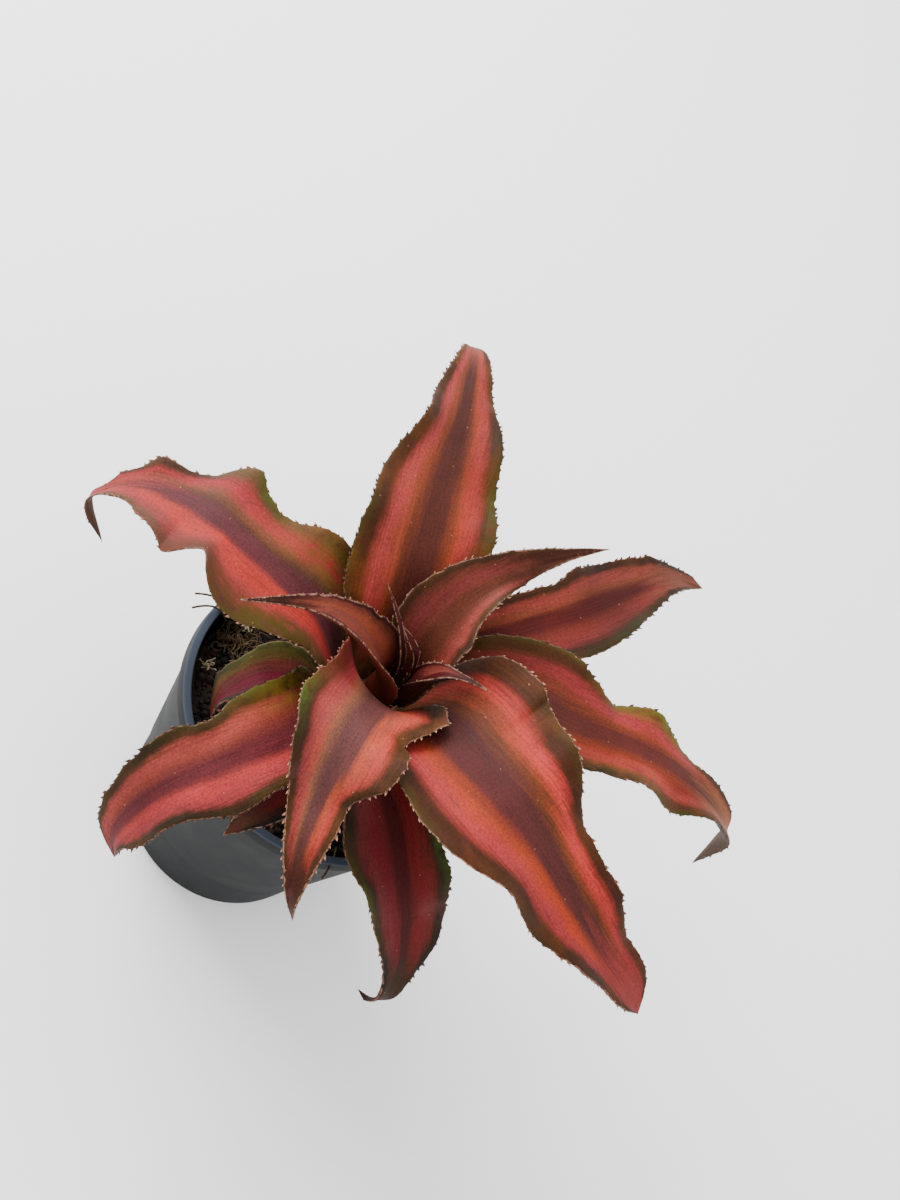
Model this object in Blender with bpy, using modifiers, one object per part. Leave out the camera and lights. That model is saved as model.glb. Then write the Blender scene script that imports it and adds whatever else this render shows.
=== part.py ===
"""Cryptanthus (earth star) in a small nursery pot: striped, wavy, spiny-edged leaves round a short stem.

Metres, +Z up. The origin is the middle of the pot's underside, which stands on z = 0. An azimuth is
measured anticlockwise from +X, seen from above. Leaves are listed from the oldest to the youngest,
and each is given in millimetres in its own plane, as (out from the stem's axis, to its left, up).
"""

import math

import bmesh
import bpy
from mathutils import Vector, noise

MM = 0.001

# The pot: a 5.5 cm round nursery pot with a turned-out lip and drain holes in its floor.
POT_HEIGHT = 50 * MM
POT_RIM_RADIUS = 27.5 * MM
POT_FLOOR_RADIUS = 20 * MM
POT_WALL = 0.8 * MM
POT_FLOOR = 1.2 * MM
LIP_WIDTH = 0.7 * MM
LIP_DEPTH = 3.2 * MM
LIP_ROUND = 0.4 * MM
FLOOR_CHAMFER = 1.5 * MM
FOOT_CHAMFER = 1 * MM
DRAIN_HOLES = 6
DRAIN_RADIUS = 2.4 * MM
DRAIN_CIRCLE = 13.5 * MM
DRAIN_SEGMENTS = 16
POT_SEGMENTS = 64

# The soil: it fills the pot to a little under its rim, with lumps on top and a plain hole for the stem.
SOIL_LEVEL = 43 * MM
SOIL_LUMPS = 1.1 * MM
SOIL_LUMP_SIZE = 4.5 * MM
SOIL_RINGS = 7
SOIL_SEGMENTS = 36

# The stem: short, ringed with leaf scars, its foot in the soil and its tapered top inside the rosette.
# The plant grew a little off the pot's middle.
PLANT_AXIS = Vector((3, 0, 0)) * MM
STEM_RADIUS = 4.3 * MM
STEM_FOOT = 34 * MM
STEM_SHOULDER = 57 * MM
STEM_TAPER = ((3.1, 62), (2.5, 64), (1.7, 66), (0.9, 67.6), (0.5, 68.2))
STEM_SEGMENTS = 20
SCAR_PITCH = 1.6 * MM
SCAR_DEPTH = 0.25 * MM

CLEARANCE = 0.3 * MM
SHARP_ANGLE = math.radians(35)

# The blades: thickness along the midrib where it is wide, its share left at the margin and where the
# blade is narrow, the tightest radius it is folded to, and the marginal spines.
BLADE_THICKNESS = 1.0 * MM
MARGIN_SHARE = 0.65
WIDE_BLADE = 5
FOLD_RADIUS = 1.3
SPINE_PITCH = 3.0
SPINE_LENGTH = 0.9
SPINE_LEAST_WIDTH = 1.2
SPINE_FULL_WIDTH = 4
SPINE_LEAN = 0.75
ROW_PITCH = 3.4
COLUMNS = (-0.8, -0.42, 0, 0.42, 0.8)

LEFT, RIGHT = 1, -1

LEAVES = (
    {
        "name": "leaf_01",
        "azimuth": -87,
        "midrib": ((5.2, -0.8, 47.5), (10, -0.6, 52.5), (18, 0.5, 56.5), (23.7, 0, 55.2),
                   (27.8, -0.8, 52.7), (31.3, -1.5, 49)),
        "left": ((0, 3.5), (0.3, 4.5), (0.6, 4.5), (0.85, 2), (1, 0)),
        "right": ((0, 3.5), (0.3, 5), (0.6, 4.5), (0.85, 2), (1, 0)),
        "channel": ((0, 45), (0.4, 30), (1, 20)),
        "waves": (),
    },
    {
        "name": "leaf_02",
        "azimuth": -33,
        "midrib": ((5.2, -1, 50.5), (9.5, -1.4, 56.8), (15, -1.4, 60), (20, -0.9, 60.8),
                   (26.2, -0.6, 59.5), (32, 0, 56.5),
                   (37.2, 1.4, 51.5), (42.3, 2.4, 45), (45.1, 1.9, 40), (44.7, 0.4, 36.5),
                   (42.5, -0.6, 35)),
        "left": ((0, 4), (0.25, 6.5), (0.38, 7.2), (0.5, 8.8), (0.6, 8.2), (0.7, 6.7), (0.8, 3.5),
                 (0.9, 1.8), (1, 0)),
        "right": ((0, 4), (0.15, 5.5), (0.3, 10.5), (0.4, 11.5), (0.52, 7.8), (0.65, 5.4),
                  (0.8, 3.1), (0.9, 1.9), (1, 0)),
        "channel": ((0, 45), (0.35, 24), (0.7, 16), (1, 20)),
        "waves": ((RIGHT, 0.5, 1.5, 0.07), (LEFT, 0.62, -1, 0.08)),
    },
    {
        "name": "leaf_03",
        "azimuth": -150,
        "midrib": ((5.4, -1, 49), (9.2, -1.8, 54.5), (14, -1.2, 57.3), (19.5, 1.2, 57.3),
                   (23, 5, 54.5), (23.5, 9, 50.5)),
        "left": ((0, 3.2), (0.5, 5), (0.8, 4.4), (1, 0)),
        "right": ((0, 3.6), (0.35, 4.6), (0.5, 5.2), (0.65, 3.8), (0.84, 4), (0.93, 2.8), (1, 0)),
        "channel": ((0, 45), (0.4, 30), (1, 20)),
        "waves": (),
    },
    {
        "name": "leaf_04",
        "azimuth": 74,
        "midrib": ((5.4, 0.6, 49.5), (10.7, 2.4, 56.2), (19.5, 2.6, 63), (32.7, 0.6, 69),
                   (41, -0.8, 71), (52.6, -1, 70),
                   (65.9, -0.8, 67), (79.8, -4.2, 61)),
        "left": ((0, 4), (0.25, 6), (0.4, 6), (0.47, 6), (0.55, 7.8), (0.7, 6.4), (0.82, 4),
                 (0.95, 2.2), (1, 0)),
        "right": ((0, 3.4), (0.1, 4.5), (0.3, 8), (0.5, 9), (0.65, 6.4), (0.8, 3.8), (0.92, 1.3),
                  (1, 0)),
        "channel": ((0, 45), (0.3, 28), (0.7, 18), (1, 20)),
        "waves": ((LEFT, 0.62, -1.4, 0.06), (LEFT, 0.78, 1, 0.05), (RIGHT, 0.6, 1.5, 0.07)),
    },
    {
        "name": "leaf_05",
        "azimuth": 36,
        "midrib": ((5.2, 0.8, 53), (9.5, 3, 61), (17, 4.2, 68.4), (24.2, 3.4, 72), (30, 1, 74),
                   (37.9, 0, 75),
                   (48.5, 0, 73), (58.9, -0.3, 69), (67.6, -1.3, 64), (73, -3.2, 59), (71.5, -6.5, 51)),
        "left": ((0, 4.5), (0.2, 10), (0.37, 10.6), (0.46, 7.4), (0.55, 7.8), (0.68, 5),
                 (0.82, 4.2), (0.9, 3.4), (0.96, 1.4), (1, 0)),
        "right": ((0, 4.5), (0.2, 7.5), (0.45, 8.4), (0.56, 7.4), (0.64, 8.2), (0.75, 5.7),
                  (0.88, 3), (0.95, 1.2), (1, 0)),
        "channel": ((0, 50), (0.3, 28), (0.6, 12), (1, 40)),
        "waves": ((LEFT, 0.49, -2.2, 0.045), (LEFT, 0.57, 1.6, 0.04), (LEFT, 0.7, -1.3, 0.05),
                  (RIGHT, 0.52, 1.5, 0.06), (RIGHT, 0.66, -1.6, 0.05), (RIGHT, 0.78, 1.2, 0.05)),
    },
    {
        "name": "leaf_06",
        "azimuth": -105,
        "midrib": ((5.6, -0.6, 53), (10.6, -0.6, 60.2), (17.5, 0.6, 66), (24.3, 0.8, 68),
                   (31.9, 0.4, 69), (36.9, 0.1, 68),
                   (42.8, -0.2, 65), (46.2, -0.1, 60), (48.2, 1, 54), (48.2, 4, 48)),
        "left": ((0, 4.5), (0.3, 7), (0.45, 7.6), (0.57, 8.6), (0.7, 6.2), (0.8, 6), (0.88, 4.6),
                 (0.95, 1.8), (1, 0)),
        "right": ((0, 3.6), (0.1, 6.4), (0.18, 10), (0.28, 9.8), (0.45, 9.2), (0.55, 6.8),
                  (0.65, 7.6), (0.8, 5.6), (0.93, 3.4), (1, 0)),
        "channel": ((0, 50), (0.3, 30), (0.6, 15), (1, 25)),
        "waves": ((RIGHT, 0.45, -1.2, 0.07), (RIGHT, 0.62, 1.4, 0.05), (LEFT, 0.58, -1.5, 0.07),
                  (LEFT, 0.74, 1.2, 0.05)),
    },
    {
        "name": "leaf_07",
        "azimuth": -165,
        "midrib": ((5, -0.6, 55.6), (9.4, -1.2, 62.4), (17, -1.4, 70.8), (24.4, 0.6, 75.5),
                   (30.8, 0.9, 77), (37.5, 0.2, 77),
                   (43.7, -1.1, 75), (50.9, -1.3, 71), (55.8, 0.4, 66), (57.5, 0.4, 60), (51.8, 0, 51)),
        "left": ((0, 3.8), (0.1, 5.4), (0.2, 8.4), (0.3, 9), (0.4, 12), (0.45, 12.8), (0.485, 11.4),
                 (0.512, 8.4), (0.56, 10.8), (0.65, 8), (0.7, 6.4), (0.77, 2.4), (0.82, 0.9),
                 (0.9, 1.2), (1, 0)),
        "right": ((0, 4.5), (0.2, 10.2), (0.3, 12), (0.43, 9.6), (0.49, 9.4), (0.545, 10.8),
                  (0.58, 9.6), (0.62, 7.2), (0.66, 5.2), (0.7, 5.2), (0.735, 3.8), (0.77, 3.4),
                  (0.81, 1.4), (0.9, 1.2), (1, 0)),
        "channel": ((0, 55), (0.25, 30), (0.5, 12), (0.75, 20), (1, 60)),
        "waves": ((LEFT, 0.4, -2.2, 0.05), (LEFT, 0.5, 3, 0.035), (LEFT, 0.58, -1.6, 0.035),
                  (RIGHT, 0.43, -1.4, 0.05), (RIGHT, 0.555, 1.8, 0.035), (RIGHT, 0.615, -1.8, 0.035),
                  (RIGHT, 0.69, 1.5, 0.03)),
    },
    {
        "name": "leaf_08",
        "azimuth": 124,
        "midrib": ((5, 0.5, 59), (7.3, 1, 65.5), (13.8, 1.8, 73.5), (22.2, 3, 79), (33.4, 2.6, 81),
                   (47.8, 0.1, 80), (59.2, -1.5, 77), (70, -3.5, 72.2), (75.4, -4.8, 66.4)),
        "left": ((0, 5), (0.2, 13), (0.3, 13), (0.45, 10), (0.55, 7.4), (0.7, 5.6), (0.8, 3.9),
                 (0.92, 1.9), (1, 0)),
        "right": ((0, 5), (0.2, 10.6), (0.38, 11.6), (0.5, 10.3), (0.65, 7), (0.8, 4.6),
                  (0.92, 2.7), (1, 0)),
        "channel": ((0, 60), (0.25, 30), (0.6, 15), (1, 20)),
        "waves": ((LEFT, 0.34, 1.2, 0.04), (LEFT, 0.43, -1.4, 0.05), (LEFT, 0.57, 1.8, 0.05),
                  (LEFT, 0.7, -1.2, 0.05),
                  (RIGHT, 0.36, 1, 0.05), (RIGHT, 0.47, -1.5, 0.05), (RIGHT, 0.6, 1.2, 0.05),
                  (RIGHT, 0.73, -1, 0.05)),
    },
    {
        "name": "leaf_09",
        "azimuth": -8,
        "midrib": ((5, 0, 58), (6.2, 0, 64), (8.2, -0.4, 69.5), (11.5, -1.2, 74), (16.4, -2.7, 77.6),
                   (26.2, -3.3, 81), (35.7, -2.2, 80), (45.2, -0.7, 77), (53.3, 1.1, 73),
                   (61, 4.5, 68), (68, 8.2, 61.6)),
        "left": ((0, 5), (0.1, 12), (0.17, 17.5), (0.24, 18.4), (0.32, 16.8), (0.45, 14), (0.52, 11),
                 (0.58, 9.4), (0.65, 7.9), (0.72, 7.6), (0.8, 6.3), (0.93, 4.4), (1, 0)),
        "right": ((0, 5), (0.15, 11), (0.3, 15.4), (0.4, 16.6), (0.5, 12.4), (0.62, 10.5),
                  (0.8, 4.9), (0.93, 2.6), (1, 0)),
        "channel": ((0, 60), (0.25, 34), (0.6, 18), (1, 20)),
        "waves": ((LEFT, 0.42, 1.4, 0.05), (LEFT, 0.55, -1.8, 0.05), (LEFT, 0.68, 1.4, 0.05),
                  (LEFT, 0.82, -1, 0.04),
                  (RIGHT, 0.36, -1.2, 0.08), (RIGHT, 0.52, 1.4, 0.04), (RIGHT, 0.64, -1.4, 0.05),
                  (RIGHT, 0.76, 1.2, 0.05)),
    },
    {
        "name": "leaf_10",
        "azimuth": -83,
        "midrib": ((4.6, -0.5, 60.5), (4.8, -0.8, 66.5), (6.5, -1.2, 71.4), (10.5, -1.4, 75.2),
                   (17.7, -1.6, 79.8),
                   (25.8, -0.8, 81.5), (31.4, 0.6, 80.5), (36.6, 2.8, 78), (40, 5.8, 74),
                   (42.1, 8.6, 70), (42, 11.7, 65)),
        "left": ((0, 4), (0.08, 7.2), (0.14, 11.4), (0.2, 12.4), (0.25, 10.8), (0.31, 8.8),
                 (0.42, 9.8), (0.54, 9.2), (0.62, 5.4), (0.72, 4.8), (0.85, 2.5), (1, 0)),
        "right": ((0, 4.4), (0.08, 7.2), (0.14, 10.6), (0.2, 11), (0.3, 10), (0.46, 10.8), (0.56, 8),
                  (0.65, 4.6), (0.78, 2.4), (0.9, 0.8), (1, 0)),
        "channel": ((0, 65), (0.12, 60), (0.25, 36), (0.6, 20), (1, 35)),
        "waves": ((LEFT, 0.12, 2.4, 0.05), (LEFT, 0.22, 1.2, 0.05), (LEFT, 0.32, -2, 0.05),
                  (LEFT, 0.46, 1.2, 0.05), (LEFT, 0.62, -1.2, 0.05), (RIGHT, 0.4, -1.2, 0.06),
                  (RIGHT, 0.53, 1.2, 0.06), (RIGHT, 0.67, -0.8, 0.05)),
    },
    {
        "name": "leaf_11",
        "azimuth": 90,
        "midrib": ((4, 0, 62), (4.4, 0.2, 67.5), (5.7, 1, 72), (8.8, 2.1, 76.3), (13.9, 2.4, 80.3),
                   (18.2, 1.7, 82.5),
                   (25.1, -0.3, 85), (31.8, -3.3, 87), (40, -7, 87)),
        "left": ((0, 4.2), (0.2, 7.6), (0.32, 9.2), (0.45, 7.2), (0.6, 4.6), (0.8, 1.8), (0.92, 0.7),
                 (1, 0)),
        "right": ((0, 4.2), (0.2, 7.4), (0.33, 7.4), (0.42, 5), (0.52, 3.6), (0.65, 2.2), (0.8, 0.9),
                  (0.9, 0.4), (1, 0)),
        "channel": ((0, 60), (0.2, 76), (0.45, 45), (0.7, 32), (1, 30)),
        "waves": ((LEFT, 0.5, -0.8, 0.06), (RIGHT, 0.5, 1, 0.05), (RIGHT, 0.64, -1, 0.06)),
    },
    {
        "name": "leaf_12",
        "azimuth": -143,
        "midrib": ((3.4, 0, 64), (3.4, -0.3, 69.5), (5.2, -0.8, 73.6), (9, -1.3, 77.7),
                   (13.7, -1.7, 81.4), (19, -0.8, 84.3),
                   (26.7, 1.7, 87), (35.2, 4.5, 88)),
        "left": ((0, 3.8), (0.15, 5.8), (0.3, 5.8), (0.5, 3.6), (0.62, 2), (0.72, 1), (0.88, 0.4),
                 (1, 0)),
        "right": ((0, 3.5), (0.15, 5), (0.28, 5.8), (0.42, 4.4), (0.52, 3.2), (0.7, 2), (0.85, 0.9),
                  (1, 0)),
        "channel": ((0, 60), (0.15, 80), (0.35, 60), (0.65, 50), (1, 45)),
        "waves": (),
    },
    {
        "name": "leaf_13",
        "azimuth": 14,
        "midrib": ((2.6, 0, 66), (2.7, 0.2, 70.5), (3.2, 0.5, 75.5), (5, 0.8, 79.8), (8, 0.6, 82.3),
                   (11.3, 0, 84)),
        "left": ((0, 2.4), (0.3, 3.4), (0.5, 3), (0.62, 1.9), (0.72, 0.9), (0.85, 0.45), (1, 0)),
        "right": ((0, 2.6), (0.3, 3.8), (0.5, 3), (0.62, 1.9), (0.72, 0.9), (0.85, 0.45), (1, 0)),
        "channel": ((0, 60), (0.3, 90), (0.6, 60), (1, 50)),
        "waves": (),
    },
    {
        "name": "leaf_14",
        "azimuth": -176,
        "midrib": ((1.6, 0, 67.6), (1.8, 0, 72), (3.5, 0, 77), (7, 0, 82), (13.4, 0, 87.6)),
        "left": ((0, 1.3), (0.3, 1.6), (0.5, 1.1), (0.75, 0.5), (1, 0)),
        "right": ((0, 1.3), (0.3, 1.4), (0.5, 0.8), (0.75, 0.5), (1, 0)),
        "channel": ((0, 60), (0.4, 75), (1, 75)),
        "waves": (),
    },
    {
        "name": "leaf_15",
        "azimuth": 160,
        "midrib": ((-0.6, -0.9, 70), (0, -1.3, 73), (1.9, -1.7, 75.4), (4.3, -1.3, 76.8),
                   (7.2, -0.2, 78.2)),
        "left": ((0, 0.6), (0.5, 0.4), (0.75, 0.7), (1, 0)),
        "right": ((0, 0.5), (0.35, 0.5), (0.6, 1), (1, 0)),
        "channel": ((0, 30), (1, 60)),
        "waves": (),
    },
)


def through(stops, share):
    """The value at `share` of a smooth curve through (share, value) stops, of numbers or of Vectors."""
    last = len(stops) - 1
    k = max(i for i in range(last) if stops[i][0] <= share or i == 0)
    (start, a), (end, b) = stops[k], stops[k + 1]
    span = end - start
    before, after = stops[max(k - 1, 0)], stops[min(k + 2, last)]
    slope_a = (b - before[1]) / (end - before[0])
    slope_b = (after[1] - a) / (after[0] - start)
    x = (share - start) / span
    return (
        a * (2 * x**3 - 3 * x**2 + 1)
        + b * (3 * x**2 - 2 * x**3)
        + slope_a * (span * (x**3 - 2 * x**2 + x))
        + slope_b * (span * (x**3 - x**2))
    )


class Blade:
    """One leaf as a formula: where each point of its surface lies, in millimetres."""

    def __init__(self, leaf):
        points = [Vector(p) for p in leaf["midrib"]]
        reach = [0.0]
        for a, b in zip(points, points[1:]):
            reach.append(reach[-1] + (b - a).length)
        self.length = reach[-1]
        self.midrib = [(r / self.length, p) for r, p in zip(reach, points)]
        self.half_widths = {LEFT: leaf["left"], RIGHT: leaf["right"]}
        self.channel = leaf["channel"]
        self.waves = leaf["waves"]

    def half_width(self, share, side):
        return max(through(self.half_widths[LEFT if side > 0 else RIGHT], share), 0)

    def point(self, share, side):
        """The point at `share` of the length and `side` of the half width, -1 being the right margin."""
        centre = through(self.midrib, share)
        ahead = through(self.midrib, min(share + 0.01, 1)) - through(self.midrib, max(share - 0.01, 0))
        ahead.normalize()
        left = Vector((0, 1, 0))
        left = (left - ahead * left.dot(ahead)).normalized()
        face = ahead.cross(left)
        half = self.half_width(share, side)
        bend = math.radians(max(through(self.channel, share), 2))
        bend = min(bend, max(half, 0.05) / FOLD_RADIUS)
        across = half * math.sin(bend * side) / bend
        lift = half * (1 - math.cos(bend * side)) / bend
        for margin, place, height, reach in self.waves:
            if margin * side > 0:
                lift += height * side**2 * math.exp(-(((share - place) / reach) ** 2))
        return centre + left * across + face * lift


def margin_chain(blade, side):
    """A margin with its spines, as (share, point) from the base to just short of the tip."""
    count = max(round(blade.length / SPINE_PITCH), 3)
    chain = [(0, blade.point(0, side))]
    for k in range(1, count):
        share = k / count
        valley = blade.point(share, side)
        chain.append((share, valley))
        half = blade.half_width(share, side)
        if k == 1 or half < SPINE_LEAST_WIDTH:
            continue
        outward = (valley - blade.point(share, side * 0.85)).normalized()
        ahead = (blade.point(min(share + 0.02, 1), side) - valley).normalized()
        size = SPINE_LENGTH * min(1, half / SPINE_FULL_WIDTH)
        peak = valley + outward * size + ahead * (SPINE_LEAN * size + 0.2 * SPINE_PITCH)
        chain.append((share + 0.45 / count, peak))
    return chain


def zip_chains(mesh, left, right):
    """Triangles between two rows of (share, vertex) that run side by side."""
    i = j = 0
    while i < len(left) - 1 or j < len(right) - 1:
        step_left = j == len(right) - 1 or (i < len(left) - 1 and left[i + 1][0] <= right[j + 1][0])
        if step_left:
            mesh.faces.new((left[i][1], right[j][1], left[i + 1][1]))
            i += 1
        else:
            mesh.faces.new((left[i][1], right[j][1], right[j + 1][1]))
            j += 1


def material(name, colour, roughness, metallic=0.0):
    made = bpy.data.materials.new(name)
    made.use_nodes = True
    shader = made.node_tree.nodes["Principled BSDF"]
    shader.inputs["Base Color"].default_value = (*colour, 1)
    shader.inputs["Roughness"].default_value = roughness
    shader.inputs["Metallic"].default_value = metallic
    made.diffuse_color = (*colour, 1)
    return made


def new_object(name, mesh, collection, look):
    obj = bpy.data.objects.new(name, mesh)
    obj.data.materials.append(look)
    collection.objects.link(obj)
    return obj


def leaf(spec, plant, collection, look):
    """A blade: an open sheet in triangles with spines along both margins, thickened about its middle."""
    blade = Blade(spec)
    rows = max(round(blade.length / ROW_PITCH), 6)
    mesh = bmesh.new()
    tip = mesh.verts.new(blade.point(1, 0) * MM)
    columns = []
    for side in COLUMNS:
        shares = [k / rows for k in range(rows)]
        columns.append([(share, mesh.verts.new(blade.point(share, side) * MM)) for share in shares])
    margins = []
    for side in (-1, 1):
        margins.append([(share, mesh.verts.new(point * MM)) for share, point in margin_chain(blade, side)])
    chains = [margins[0], *columns, margins[1]]
    for right, left in zip(chains, chains[1:]):
        zip_chains(mesh, left, right)
        mesh.faces.new((left[-1][1], right[-1][1], tip))
    mesh.verts.index_update()
    thickness = {vertex.index: MARGIN_SHARE for vertex in mesh.verts}
    for column in columns:
        for share, vertex in column:
            wide = min(1, min(blade.half_width(share, -1), blade.half_width(share, 1)) / WIDE_BLADE)
            thickness[vertex.index] = MARGIN_SHARE + (1 - MARGIN_SHARE) * wide
    data = bpy.data.meshes.new(spec["name"])
    mesh.to_mesh(data)
    mesh.free()
    data.shade_smooth()
    obj = new_object(spec["name"], data, collection, look)
    obj.parent = plant
    obj.rotation_euler.z = math.radians(spec["azimuth"])
    group = obj.vertex_groups.new(name="thickness")
    for index, weight in thickness.items():
        group.add([index], weight, "REPLACE")
    shell = obj.modifiers.new("thickness", "SOLIDIFY")
    shell.thickness = BLADE_THICKNESS
    shell.offset = 0
    shell.vertex_group = group.name
    return obj


def turned(name, profile, segments, collection, look):
    """A plain mesh turned from a profile of (radius, height) that runs down its outer side."""
    data = bpy.data.meshes.new(name)
    data.from_pydata([(r, 0, z) for r, z in profile], [(i, i + 1) for i in range(len(profile) - 1)], [])
    obj = new_object(name, data, collection, look)
    screw = obj.modifiers.new("turn", "SCREW")
    screw.steps = screw.render_steps = segments
    screw.use_merge_vertices = True
    screw.merge_threshold = 0.00001
    graph = bpy.context.evaluated_depsgraph_get()
    plain = bpy.data.meshes.new_from_object(obj.evaluated_get(graph))
    obj.modifiers.clear()
    obj.data = plain
    plain.shade_smooth()
    plain.set_sharp_from_angle(angle=SHARP_ANGLE)
    return obj


def cylinder(name, radius, depth, segments, cutters):
    """A cutter, which a render leaves out."""
    mesh = bmesh.new()
    bmesh.ops.create_cone(
        mesh, cap_ends=True, segments=segments, radius1=radius, radius2=radius, depth=depth
    )
    data = bpy.data.meshes.new(name)
    mesh.to_mesh(data)
    mesh.free()
    obj = bpy.data.objects.new(name, data)
    obj.hide_render = True
    obj.display_type = "WIRE"
    cutters.objects.link(obj)
    return obj


def cut(obj, cutter):
    boolean = obj.modifiers.new(cutter.name, "BOOLEAN")
    boolean.operation = "DIFFERENCE"
    boolean.object = cutter


def inner_radius(height):
    """The radius of the pot's inner wall at a height."""
    share = height / POT_HEIGHT
    outer = POT_FLOOR_RADIUS + (POT_RIM_RADIUS - LIP_WIDTH - POT_FLOOR_RADIUS) * share
    return outer - POT_WALL


def pot(collection, cutters, look):
    wall_top = POT_RIM_RADIUS - LIP_WIDTH
    lip_foot = POT_HEIGHT - LIP_DEPTH
    profile = [
        (0, POT_FLOOR),
        (inner_radius(POT_FLOOR) - FLOOR_CHAMFER, POT_FLOOR),
        (inner_radius(POT_FLOOR + FLOOR_CHAMFER), POT_FLOOR + FLOOR_CHAMFER),
        (inner_radius(POT_HEIGHT - LIP_ROUND), POT_HEIGHT - LIP_ROUND),
        (inner_radius(POT_HEIGHT) + 0.7 * LIP_ROUND, POT_HEIGHT),
        (POT_RIM_RADIUS - LIP_ROUND, POT_HEIGHT),
        (POT_RIM_RADIUS, POT_HEIGHT - LIP_ROUND),
        (POT_RIM_RADIUS, lip_foot),
        (wall_top, lip_foot),
        (POT_FLOOR_RADIUS, FOOT_CHAMFER),
        (POT_FLOOR_RADIUS - FOOT_CHAMFER, 0),
        (0, 0),
    ]
    shell = turned("pot", profile, POT_SEGMENTS, collection, look)
    for k in range(DRAIN_HOLES):
        angle = 2 * math.pi * k / DRAIN_HOLES
        drain = cylinder(f"drain_{k + 1}", DRAIN_RADIUS, 8 * MM, DRAIN_SEGMENTS, cutters)
        drain.location = (DRAIN_CIRCLE * math.cos(angle), DRAIN_CIRCLE * math.sin(angle), 0)
        cut(shell, drain)
    return shell


def soil(collection, cutters, look):
    foot = POT_FLOOR + CLEARANCE
    edge = inner_radius(SOIL_LEVEL) - CLEARANCE
    profile = [(edge * k / SOIL_RINGS, SOIL_LEVEL) for k in range(SOIL_RINGS + 1)]
    profile += [(inner_radius(foot + FLOOR_CHAMFER) - CLEARANCE, foot + FLOOR_CHAMFER)]
    profile += [(inner_radius(foot) - FLOOR_CHAMFER - CLEARANCE, foot), (0, foot)]
    obj = turned("soil", profile, SOIL_SEGMENTS, collection, look)
    for vertex in obj.data.vertices:
        x, y, z = vertex.co
        if z > SOIL_LEVEL - 0.01 * MM and math.hypot(x, y) < edge - 0.5 * MM:
            vertex.co.z += SOIL_LUMPS * noise.noise(Vector((x, y, 0)) / SOIL_LUMP_SIZE)
    depth = 2 * (SOIL_LEVEL - STEM_FOOT)
    hole = cylinder("stem_hole", STEM_RADIUS + CLEARANCE, depth, STEM_SEGMENTS, cutters)
    hole.location = PLANT_AXIS + Vector((0, 0, STEM_FOOT - CLEARANCE + depth / 2))
    cut(obj, hole)
    return obj


def stem(plant, collection, look):
    profile = [(0, STEM_TAPER[-1][1] * MM)]
    profile += [(radius * MM, height * MM) for radius, height in reversed(STEM_TAPER)]
    for k in range(int((STEM_SHOULDER - SOIL_LEVEL) / SCAR_PITCH)):
        height = STEM_SHOULDER - k * SCAR_PITCH
        profile.append((STEM_RADIUS, height))
        profile.append((STEM_RADIUS - SCAR_DEPTH, height - SCAR_PITCH / 2))
    profile.append((STEM_RADIUS, STEM_FOOT + FOOT_CHAMFER))
    profile.append((STEM_RADIUS - FOOT_CHAMFER, STEM_FOOT))
    profile.append((0, STEM_FOOT))
    obj = turned("stem", profile, STEM_SEGMENTS, collection, look)
    obj.parent = plant
    return obj


def main():
    for obj in list(bpy.data.objects):
        bpy.data.objects.remove(obj)
    parts = bpy.data.collections.new("cryptanthus")
    cutters = bpy.data.collections.new("cutters")
    for collection in (parts, cutters):
        bpy.context.scene.collection.children.link(collection)
    plant = bpy.data.objects.new("plant", None)
    plant.location = PLANT_AXIS
    parts.objects.link(plant)
    pot(parts, cutters, material("pot_plastic", (0.02, 0.022, 0.026), 0.45))
    soil(parts, cutters, material("soil", (0.03, 0.02, 0.014), 0.95))
    stem(plant, parts, material("stem", (0.2, 0.12, 0.06), 0.8))
    blade_look = material("leaf", (0.5, 0.12, 0.1), 0.5)
    for spec in LEAVES:
        leaf(spec, plant, parts, blade_look)


main()
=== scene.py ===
import math
import random

import bmesh
import bpy
from mathutils import Matrix, Vector


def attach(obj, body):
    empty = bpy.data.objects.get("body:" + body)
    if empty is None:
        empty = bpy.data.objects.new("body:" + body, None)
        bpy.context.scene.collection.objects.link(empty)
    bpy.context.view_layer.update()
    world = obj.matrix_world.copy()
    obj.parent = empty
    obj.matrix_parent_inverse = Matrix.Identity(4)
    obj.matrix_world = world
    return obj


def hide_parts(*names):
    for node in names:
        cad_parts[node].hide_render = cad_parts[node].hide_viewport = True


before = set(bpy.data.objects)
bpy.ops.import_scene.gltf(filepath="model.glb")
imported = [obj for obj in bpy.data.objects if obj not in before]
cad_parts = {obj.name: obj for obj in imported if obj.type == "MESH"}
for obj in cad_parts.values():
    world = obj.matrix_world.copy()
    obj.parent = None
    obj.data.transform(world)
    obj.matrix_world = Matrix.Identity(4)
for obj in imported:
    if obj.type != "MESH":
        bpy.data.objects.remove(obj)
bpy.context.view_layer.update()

mm = 0.001
toMm = 1000
plantAxis = Vector((3, 0, 0)) * mm  # the plant grew a little off the middle of its pot


class Wire:
    # one output of a node; Python's operators on it add maths nodes to the node's own tree
    def __init__(self, socket):
        self.socket, self.tree = socket, socket.id_data

    def __add__(self, other):
        return maths("ADD", self, other)

    def __sub__(self, other):
        return maths("SUBTRACT", self, other)

    def __rsub__(self, other):
        return maths("SUBTRACT", other, self)

    def __mul__(self, other):
        return maths("MULTIPLY", self, other)

    def __truediv__(self, other):
        return maths("DIVIDE", self, other)

    def __rtruediv__(self, other):
        return maths("DIVIDE", other, self)

    def __gt__(self, other):
        return maths("GREATER_THAN", self, other)

    def __lt__(self, other):
        return maths("LESS_THAN", self, other)


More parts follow.
